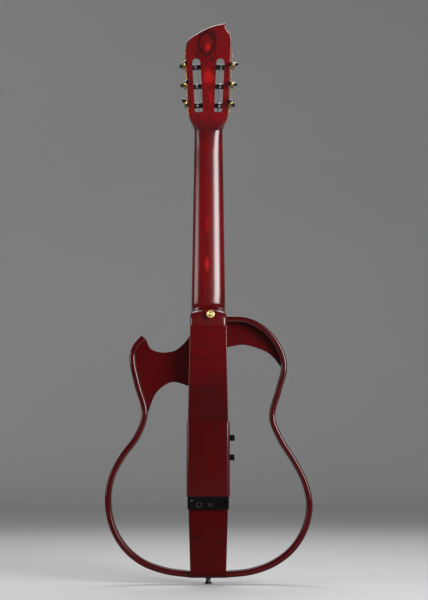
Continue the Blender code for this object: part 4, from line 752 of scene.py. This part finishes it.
def add_screw(shape, radius, rise, place, slots=1):
    """Adds a domed screw head with one slot or a cross, standing on the place's XY plane."""
    half = radius * 0.13
    for quarter in range(2 * slots):
        wedge = bmesh.new()
        bmesh.ops.create_uvsphere(wedge, u_segments=28, v_segments=12, radius=radius)
        bmesh.ops.scale(wedge, vec=(1, 1, rise / radius), verts=wedge.verts)
        turn = Matrix.Rotation(math.pi / slots * quarter, 3, "Z")
        cuts = [((0, 0, 0), (0, 0, -1)), (turn @ Vector((0, half, 0)), turn @ Vector((0, -1, 0)))]
        if slots > 1:
            cuts.append((turn @ Vector((half, 0, 0)), turn @ Vector((-1, 0, 0))))
        for place_at, outward in cuts:
            bmesh.ops.bisect_plane(
                wedge, geom=wedge.verts[:] + wedge.edges[:] + wedge.faces[:], plane_co=place_at,
                plane_no=outward, clear_outer=True)
            bmesh.ops.holes_fill(wedge, edges=wedge.edges)
        bmesh.ops.transform(wedge, matrix=place, verts=wedge.verts)
        mesh = bpy.data.meshes.new("screw_wedge")
        wedge.to_mesh(mesh)
        wedge.free()
        shape.from_mesh(mesh)
        bpy.data.meshes.remove(mesh)
    mark_made(shape)
    core, height = radius * 0.8, rise * 0.4
    add_turned(shape, [(0, height), (core, height), (core, 0), (0, 0)], place, 24)


# Operators

class GUITAR_OT_dress_wood(Operator):
    """Lacquer the neck, head, centre block, front plates, rims and cover"""

    bl_idname = "guitar.dress_wood"
    bl_label = "Red lacquered wood"

    def execute(self, context):
        # The smaller depths for the block, plates, rims and cover are painted shade: less light falls
        # there, and the stain is one red.
        head = wood("head_wood", 0.84, 0.36, 0.10, 0.32, HEAD_KNOTS, HEAD_SHADE_FADES)
        add_lacquered("headstock", head)
        neck = wood("neck_wood", 0.78, 0.36, 0.12, 0.35, NECK_KNOTS, NECK_SHADE_FADES, (1.0, 1.0), 0.22)
        add_lacquered("neck", neck)
        block = wood("block_wood", 0.50, 0.12, 0.40, 0.45, shade_fades=BLOCK_SHADE_FADES, coat=(0.08, 0.90))
        add_lacquered("center_block", block)
        plates = wood("wing_wood", 0.43, 0.20, 0.12, 0.30)
        rims = wood("rim_wood", 0.30, 0.22, 0.10, 0.30, coat=(0.30, 0.75))
        for side in SIDES:
            self.add_side(side, rims, plates)
        self.add_cover(wood("cover_wood", 0.31, 0.62, 0.0, 0.20))
        return {"FINISHED"}

    def add_side(self, side, rims, plates):
        """A bent rim and the front plate between it and the block."""
        outer = rim_path(side)
        inner = inside_path(outer, RIM_WIDTH, side == "bass")
        ends = [(outer[0] + inner[0]) / 2]
        if side == "bass":
            ends.append((outer[-1] + inner[-1]) / 2)
        rim = bmesh.new()
        add_slab(rim, outer + inner[::-1], side, RIM_DEPTH, RIM_ROUNDING, ends)
        name = "rim_" + side
        keep_flat(add_piece(name + "_bent", rim, rims, "guitar", [name], 50))
        lower = plate_edge(inner, PLATE_EDGES[side][0])
        upper = plate_edge(inner, PLATE_EDGES[side][1], [inner[-1]])
        along = [point for point in inner if point.y > lower[-1].y + PLATE_STEP]
        plate = bmesh.new()
        add_slab(plate, lower + along + upper, side, PLATE_THICKNESS)
        name = PLATE_NODES[side]
        piece = add_piece(name + "_plate", plate, plates, "guitar", [name], 50)
        finish_edges(piece, PLATE_ROUNDING)

    def add_cover(self, material):
        """The raised cover: a shell, open in front and below, with soft long edges and crisp ends."""
        low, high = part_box("electronics_cover")
        shell = bmesh.new()
        add_box(shell, low, high, Matrix.Identity(4))
        outer = [edge for edge in shell.edges if min(v.co.y for v in edge.verts) > high.y - TOUCH]
        upright = [edge for edge in outer if abs(edge.verts[0].co.z - edge.verts[1].co.z) > TOUCH]
        bevel(shell, upright, COVER_ROUNDING, 5)
        shell.normal_update()
        openings = [face for face in shell.faces if face.normal.y < -0.9 or face.normal.z < -0.9]
        bmesh.ops.delete(shell, geom=openings, context="FACES")
        bmesh.ops.solidify(shell, geom=shell.faces[:], thickness=COVER_WALL)
        piece = add_piece(
            "cover_shell", shell, material, "guitar", ["electronics_cover"], 60)
        finish_edges(piece, COVER_CRISPNESS)


class GUITAR_OT_dress_fingerboard(Operator):
    """Make the fingerboard with crowned frets, the nut and the head veneer"""

    bl_idname = "guitar.dress_fingerboard"
    bl_label = "Fingerboard"

    def execute(self, context):
        colours, sizes, _ = settings()
        low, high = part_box("fingerboard")
        dark = rosewood()
        board = bmesh.new()
        add_box(board, (low.x, BOARD_FACE, low.z), (high.x, high.y, high.z), Matrix.Identity(4))
        nut_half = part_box("nut")[1].x
        for vert in board.verts:
            if vert.co.z > high.z - TOUCH:
                vert.co.x = math.copysign(nut_half, vert.co.x)
        bevel(board, board.edges, sizes.edge_softness, 2)
        add_piece("fingerboard_wood", board, dark, "guitar", ["fingerboard"])
        wires = bmesh.new()
        for number in range(1, FRET_COUNT + 1):
            z = NUT_Z - SCALE_LENGTH * (1 - 2 ** (-number / 12))
            share = (NUT_Z - z) / (NUT_Z - low.z)
            half = between_ends(nut_half, high.x, share) - FRET_INSET
            crown = Matrix.Diagonal((sizes.fret_width / 2, BOARD_FACE - FRET_TOP, half * 2, 1))
            turn = Matrix(((0, 0, 1, 0), (0, 1, 0, BOARD_FACE), (1, 0, 0, z), (0, 0, 0, 1)))
            made = bmesh.ops.create_cone(
                wires, cap_ends=True, segments=20, radius1=1, radius2=1, depth=1, matrix=turn @ crown)
            edges = {edge for vert in made["verts"] for edge in vert.link_edges}
            ends = [edge for edge in edges if len({vert.co.x > 0 for vert in edge.verts}) == 1]
            bevel(wires, ends, FRET_END, 2)
        steel = plain("fret_steel", colours.steel, 0.16, 0.12, metallic=1.0)
        add_piece("fret_wires", wires, steel, "guitar")
        dress(["headplate"], dark, softness=sizes.edge_softness)
        bone = plain("bone", colours.bone, 0.28, 0.14, 1500, 0.000006, Subsurface_Weight=0.15)
        dress(["nut", "saddle"], bone, softness=sizes.edge_softness)
        return {"FINISHED"}


class GUITAR_OT_dress_strings(Operator):
    """Finish the three nylon strings and the three wound ones"""

    bl_idname = "guitar.dress_strings"
    bl_label = "Strings"

    def execute(self, context):
        colours = settings()[0]
        clear = plain(
            "nylon", colours.nylon, 0.10, 0.10, 1200, 0.000001, Transmission_Weight=0.9, IOR=1.53)
        strings = numbered("string")
        dress(strings[:NYLON_COUNT], clear, split=60)
        dress(strings[NYLON_COUNT:], wound_string(), split=60)
        return {"FINISHED"}


class GUITAR_OT_dress_tuners(Operator):
    """Finish the tuners and screw their plates to the head"""

    bl_idname = "guitar.dress_tuners"
    bl_label = "Tuners"

    def execute(self, context):
        colours, sizes, _ = settings()
        gold = plain("gold_plate", colours.gold, 0.14, 0.16, 1400, 0.000003, 1.0)
        gloss = plain("black_gloss", colours.black, 0.10, 0.10, 700, 0.000003)
        dress(["tuner_plate_treble", "tuner_plate_bass"], gold, softness=METAL_SOFTNESS)
        dress(numbered("tuner_gear"), plain("brass", colours.brass, 0.25, 0.2, metallic=1.0))
        dress(numbered("tuner_worm"), plain("worm_gold", colours.gold, 0.16, 0.14, metallic=1.0))
        dress(numbered("tuner_roller"), plain(
            "roller_black", colours.black, 0.22, 0.12, Specular_IOR_Level=0.2))
        dress(numbered("tuner_button"), gloss)
        for name, side in SIDES.items():
            head_side = HEAD_FRAME @ Matrix.Translation((side * HEAD_HALF, 0, HEAD_MIDDLE_UP))
            head_side = head_side @ Matrix.Rotation(side * HEAD_TAPER, 4, "Y")
            screws = bmesh.new()
            for up, turn in PLATE_SCREWS:
                place = head_side @ Matrix.Translation((side * PLATE_OUT, HEAD_THICKNESS / 2, up))
                place = place @ Matrix.Rotation(side * math.pi / 2, 4, "Y")
                place = place @ Matrix.Rotation(math.radians(turn), 4, "Z")
                add_screw(screws, sizes.plate_screw, sizes.plate_screw_rise, place)
            add_piece("plate_screws_" + name, screws, gold, "guitar")
        return {"FINISHED"}


class GUITAR_OT_dress_bridge(Operator):
    """Finish the bridge and its pickup"""

    bl_idname = "guitar.dress_bridge"
    bl_label = "Bridge"

    def execute(self, context):
        colours, sizes, _ = settings()
        dress(["bridge"], bpy.data.materials["rosewood"], softness=sizes.edge_softness)
        dress(["piezo_pickup"], plain("pickup_brass", colours.brass, 0.25, 0.2, metallic=1.0))
        return {"FINISHED"}


class GUITAR_OT_dress_electronics(Operator):
    """Finish the jack panel, its jacks, the switch, the knobs and what the body holds inside"""

    bl_idname = "guitar.dress_electronics"
    bl_label = "Electronics"

    def execute(self, context):
        colours, sizes, _ = settings()
        black = plain(
            "black_plastic", colours.black, 0.32, 0.16, 1600, 0.00002, Specular_IOR_Level=0.04)
        steel = plain("bright_steel", colours.steel, 0.14, 0.14, metallic=1.0)
        # Painted shade: steel darkened to a fifth, for the contact rings inside the jack bores and the
        # panel screw, on the panel that faces down.
        shade = tuple(part * 0.2 for part in colours.steel)
        dark_steel = plain("dark_steel", shade, 0.2, 0.14, metallic=1.0)
        dress(["jack_panel"], black, softness=sizes.edge_softness)
        dress(["slide_switch"], black)
        gloss = bpy.data.materials["black_gloss"]
        dress(["output_jack", "headphone_jack"], gloss, softness=METAL_SOFTNESS)
        dress(["preamp_board"], plain("circuit_board", colours.board, 0.35, 0.2))
        dress(["aa_cell_1", "aa_cell_2"], plain("cell_sleeve", colours.sleeve, 0.25, 0.2))
        dress(["truss_rod"], steel)
        dress(["panel_screw"], dark_steel)
        self.add_contact_rings(dark_steel)
        self.add_switch_ridges(black)
        for name in ("volume_knob", "effect_knob"):
            self.add_knob(name, black)
        return {"FINISHED"}

    def add_contact_rings(self, steel):
        """A contact ring inside each jack."""
        rings = bmesh.new()
        for x, bore in JACK_BORES:
            place = PANEL_FRAME @ Matrix.Translation((x, 0, JACKS_UP))
            place = place @ Matrix.Rotation(-math.pi / 2, 4, "X")
            add_turned(rings, [(bore * share, height) for share, height in RING_PROFILE], place)
        add_piece("jack_contact_rings", rings, steel, "guitar")

    def add_switch_ridges(self, black):
        """Ridges for the finger on the switch."""
        low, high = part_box("slide_switch")
        x = (low.x + high.x) / 2
        across, up = RIDGE_HALF
        foot, top = RIDGE_RISE
        ridges = bmesh.new()
        for step in range(SWITCH_RIDGES):
            z = RIDGE_FIRST + RIDGE_STEP * step
            add_box(
                ridges, (x - across, foot, z - up), (x + across, top, z + up), PANEL_FRAME, RIDGE_EDGE)
        add_piece("switch_ridges", ridges, black, "power_switch")

    def add_knob(self, name, black):
        """A knurled knob with a pale index line, its axis along X."""
        sizes = settings()[1]
        low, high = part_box(name)
        radius = (high.z - low.z) / 2
        foot = Vector((low.x + KNOB_LENGTH, (low.y + high.y) / 2, (low.z + high.z) / 2))
        place = Matrix.Translation(foot) @ Matrix.Rotation(-math.pi / 2, 4, "Y")
        knob = bmesh.new()
        steps = sizes.knurls * 4
        made = bmesh.ops.create_cone(
            knob, cap_ends=True, segments=steps, radius1=radius, radius2=radius, depth=KNOB_LENGTH,
            matrix=Matrix.Translation((0, 0, KNOB_LENGTH / 2)))
        for vert in made["verts"]:
            if round(math.atan2(vert.co.y, vert.co.x) / (2 * math.pi) * steps) % 4 == 0:
                vert.co.xy *= 1 - sizes.knurl_depth / radius
        near_top = KNOB_LENGTH - TOUCH
        top = [edge for edge in knob.edges if all(vert.co.z > near_top for vert in edge.verts)]
        bevel(knob, top, KNOB_EDGE, 3)
        mark_made(knob)
        shaft = high.x - foot.x
        profile = [(0, SHAFT_SUNK), (KNOB_SHAFT, SHAFT_SUNK), (KNOB_SHAFT, -shaft), (0, -shaft)]
        add_turned(knob, profile, Matrix.Identity(4), 24)
        bmesh.ops.transform(knob, matrix=place, verts=knob.verts)
        body = "knob_" + name.split("_")[0]
        add_piece(name + "_knurled", knob, black, body, [name])
        line = bmesh.new()
        near, far = ((radius * reach, KNOB_LENGTH + rise) for reach, rise in zip(LINE_REACH, LINE_RISE))
        add_box(line, (near[0], -LINE_HALF, near[1]), (far[0], LINE_HALF, far[1]), place)
        add_piece(name + "_line", line, bpy.data.materials["bone"], body)


class GUITAR_OT_dress_strap_fittings(Operator):
    """Turn the gold heel button with its screw, and the black end pin"""

    bl_idname = "guitar.dress_strap_fittings"
    bl_label = "Strap fittings"

    def execute(self, context):
        colours = settings()[0]
        gold = bpy.data.materials["gold_plate"]
        button = bmesh.new()
        add_turned(button, BUTTON_PROFILE, STRAP_FRAME, 48)
        add_piece("strap_button_turned", button, gold, "guitar", ["strap_button_heel"])
        screw = bmesh.new()
        place = STRAP_FRAME @ Matrix.Translation((0, 0, BUTTON_TOP))
        place = place @ Matrix.Rotation(math.radians(35), 4, "Z")
        add_screw(screw, *BUTTON_SCREW, place, 2)
        add_piece("strap_button_screw", screw, gold, "guitar")
        pin = bmesh.new()
        add_turned(pin, PIN_PROFILE, TAIL_FRAME, 48)
        pin_black = plain("pin_black", colours.black, 0.12, 0.10, Coat_Weight=0.4)
        add_piece("end_pin_turned", pin, pin_black, "guitar", ["end_pin"])
        return {"FINISHED"}


class GUITAR_OT_set_stage(Operator):
    """Set up the floor, the lamps and the camera"""

    bl_idname = "guitar.set_stage"
    bl_label = "Studio"

    def execute(self, context):
        colours, _, stage = settings()
        scene = context.scene
        scene.view_settings.view_transform = "Standard"
        self.add_backdrop(colours.backdrop)
        scene.world = self.room(stage)
        for name, (degrees, away, rise, size) in LAMPS.items():
            turn = math.radians(degrees)
            place = MIDDLE + Vector((math.sin(turn) * away, math.cos(turn) * away, rise))
            self.add_lamp(name + "_lamp", place, size, getattr(stage, name + "_power"))
        data = bpy.data.cameras.new("camera")
        data.lens = stage.lens
        data.sensor_width = SENSOR_WIDTH
        camera = bpy.data.objects.new("camera", data)
        scene.collection.objects.link(camera)
        sight = Vector((0, -math.cos(stage.rise), math.sin(stage.rise)))
        camera.location = AIM - sight * stage.distance
        camera.rotation_euler = sight.to_track_quat("-Z", "Y").to_euler()
        scene.camera = camera
        return {"FINISHED"}

    def room(self, stage):
        """The world: it lights the shadows evenly, and shows as a plain grey."""
        world = bpy.data.worlds.new("room")
        world.use_nodes = True
        tree = world.node_tree
        rays = add_node(tree, "ShaderNodeLightPath").outputs
        seen = worked(tree, "MAXIMUM", rays["Is Camera Ray"], rays["Is Glossy Ray"])
        seen = worked(tree, "MAXIMUM", seen, rays["Is Transmission Ray"])
        background = tree.nodes["Background"]
        background.inputs["Color"].default_value = (1, 1, 1, 1)
        tree.links.new(between(tree, seen, 0, 1, stage.fill, stage.grey), background.inputs["Strength"])
        return world

    def add_lamp(self, name, place, size, power):
        """A broad lamp that looks at the middle of the guitar."""
        data = bpy.data.lights.new(name, "AREA")
        data.shape = "RECTANGLE"
        data.size, data.size_y = size
        data.energy = power
        data.spread = LAMP_SPREAD
        lamp = bpy.data.objects.new(name, data)
        bpy.context.scene.collection.objects.link(lamp)
        lamp.location = place
        lamp.rotation_euler = (MIDDLE - place).to_track_quat("-Z", "Y").to_euler()

    def add_backdrop(self, colour):
        """One pale sheet: a floor that curves up into a wall beyond the strings."""
        shape = bmesh.new()
        start = shape.verts.new((-FLOOR_HALF, FLOOR_HALF, 0))
        bend = shape.verts.new((-FLOOR_HALF, WALL_BEND_Y, 0))
        shape.edges.new((start, bend))
        made = bmesh.ops.spin(
            shape, geom=[bend], cent=(0, WALL_BEND_Y, WALL_BEND_RADIUS), axis=(1, 0, 0),
            angle=-math.pi / 2, steps=24)
        top = [item for item in made["geom_last"] if isinstance(item, bmesh.types.BMVert)][0]
        end = shape.verts.new(top.co + Vector((0, 0, WALL_HEIGHT)))
        shape.edges.new((top, end))
        grown = bmesh.ops.extrude_edge_only(shape, edges=shape.edges[:])["geom"]
        moved = [item for item in grown if isinstance(item, bmesh.types.BMVert)]
        bmesh.ops.translate(shape, vec=(2 * FLOOR_HALF, 0, 0), verts=moved)
        mesh = bpy.data.meshes.new("backdrop")
        shape.to_mesh(mesh)
        shape.free()
        mesh.shade_smooth()
        backdrop = bpy.data.objects.new("backdrop", mesh)
        bpy.context.scene.collection.objects.link(backdrop)
        material, tree, shader, vector = new_material("backdrop")
        shader.inputs["Roughness"].default_value = 0.9
        soft = between(tree, noise(tree, vector, 1.2, 2), 0.2, 0.8)
        darker = tuple(part * 0.97 for part in colour)
        tree.links.new(mix_colour(tree, soft, colour, darker), shader.inputs["Base Color"])
        mesh.materials.append(material)


class GUITAR_PT_finish(Panel):
    """The guitar's finishes, one button each"""

    bl_label = "Silent Guitar"
    bl_idname = "GUITAR_PT_finish"
    bl_space_type = "VIEW_3D"
    bl_region_type = "UI"
    bl_category = "Silent Guitar"

    def draw(self, context):
        for operator in OPERATORS:
            self.layout.operator(operator.bl_idname)
        for group in settings():
            box = self.layout.box()
            for key in group.__annotations__:
                box.prop(group, key)


OPERATORS = (
    GUITAR_OT_set_stage, GUITAR_OT_dress_wood, GUITAR_OT_dress_fingerboard, GUITAR_OT_dress_strings,
    GUITAR_OT_dress_tuners, GUITAR_OT_dress_bridge, GUITAR_OT_dress_electronics,
    GUITAR_OT_dress_strap_fittings,
)
GROUPS = {"guitar_colours": GuitarColours, "guitar_sizes": GuitarSizes, "guitar_stage": GuitarStage}


def register():
    for item in (*GROUPS.values(), *OPERATORS, GUITAR_PT_finish):
        bpy.utils.register_class(item)
    for name, group in GROUPS.items():
        setattr(bpy.types.Scene, name, PointerProperty(type=group))


def unregister():
    for name in GROUPS:
        delattr(bpy.types.Scene, name)
    for item in reversed((*GROUPS.values(), *OPERATORS, GUITAR_PT_finish)):
        bpy.utils.unregister_class(item)


def main():
    register()
    for operator in OPERATORS:
        group, name = operator.bl_idname.split(".")
        getattr(getattr(bpy.ops, group), name)()


if __name__ == "__main__":
    main()
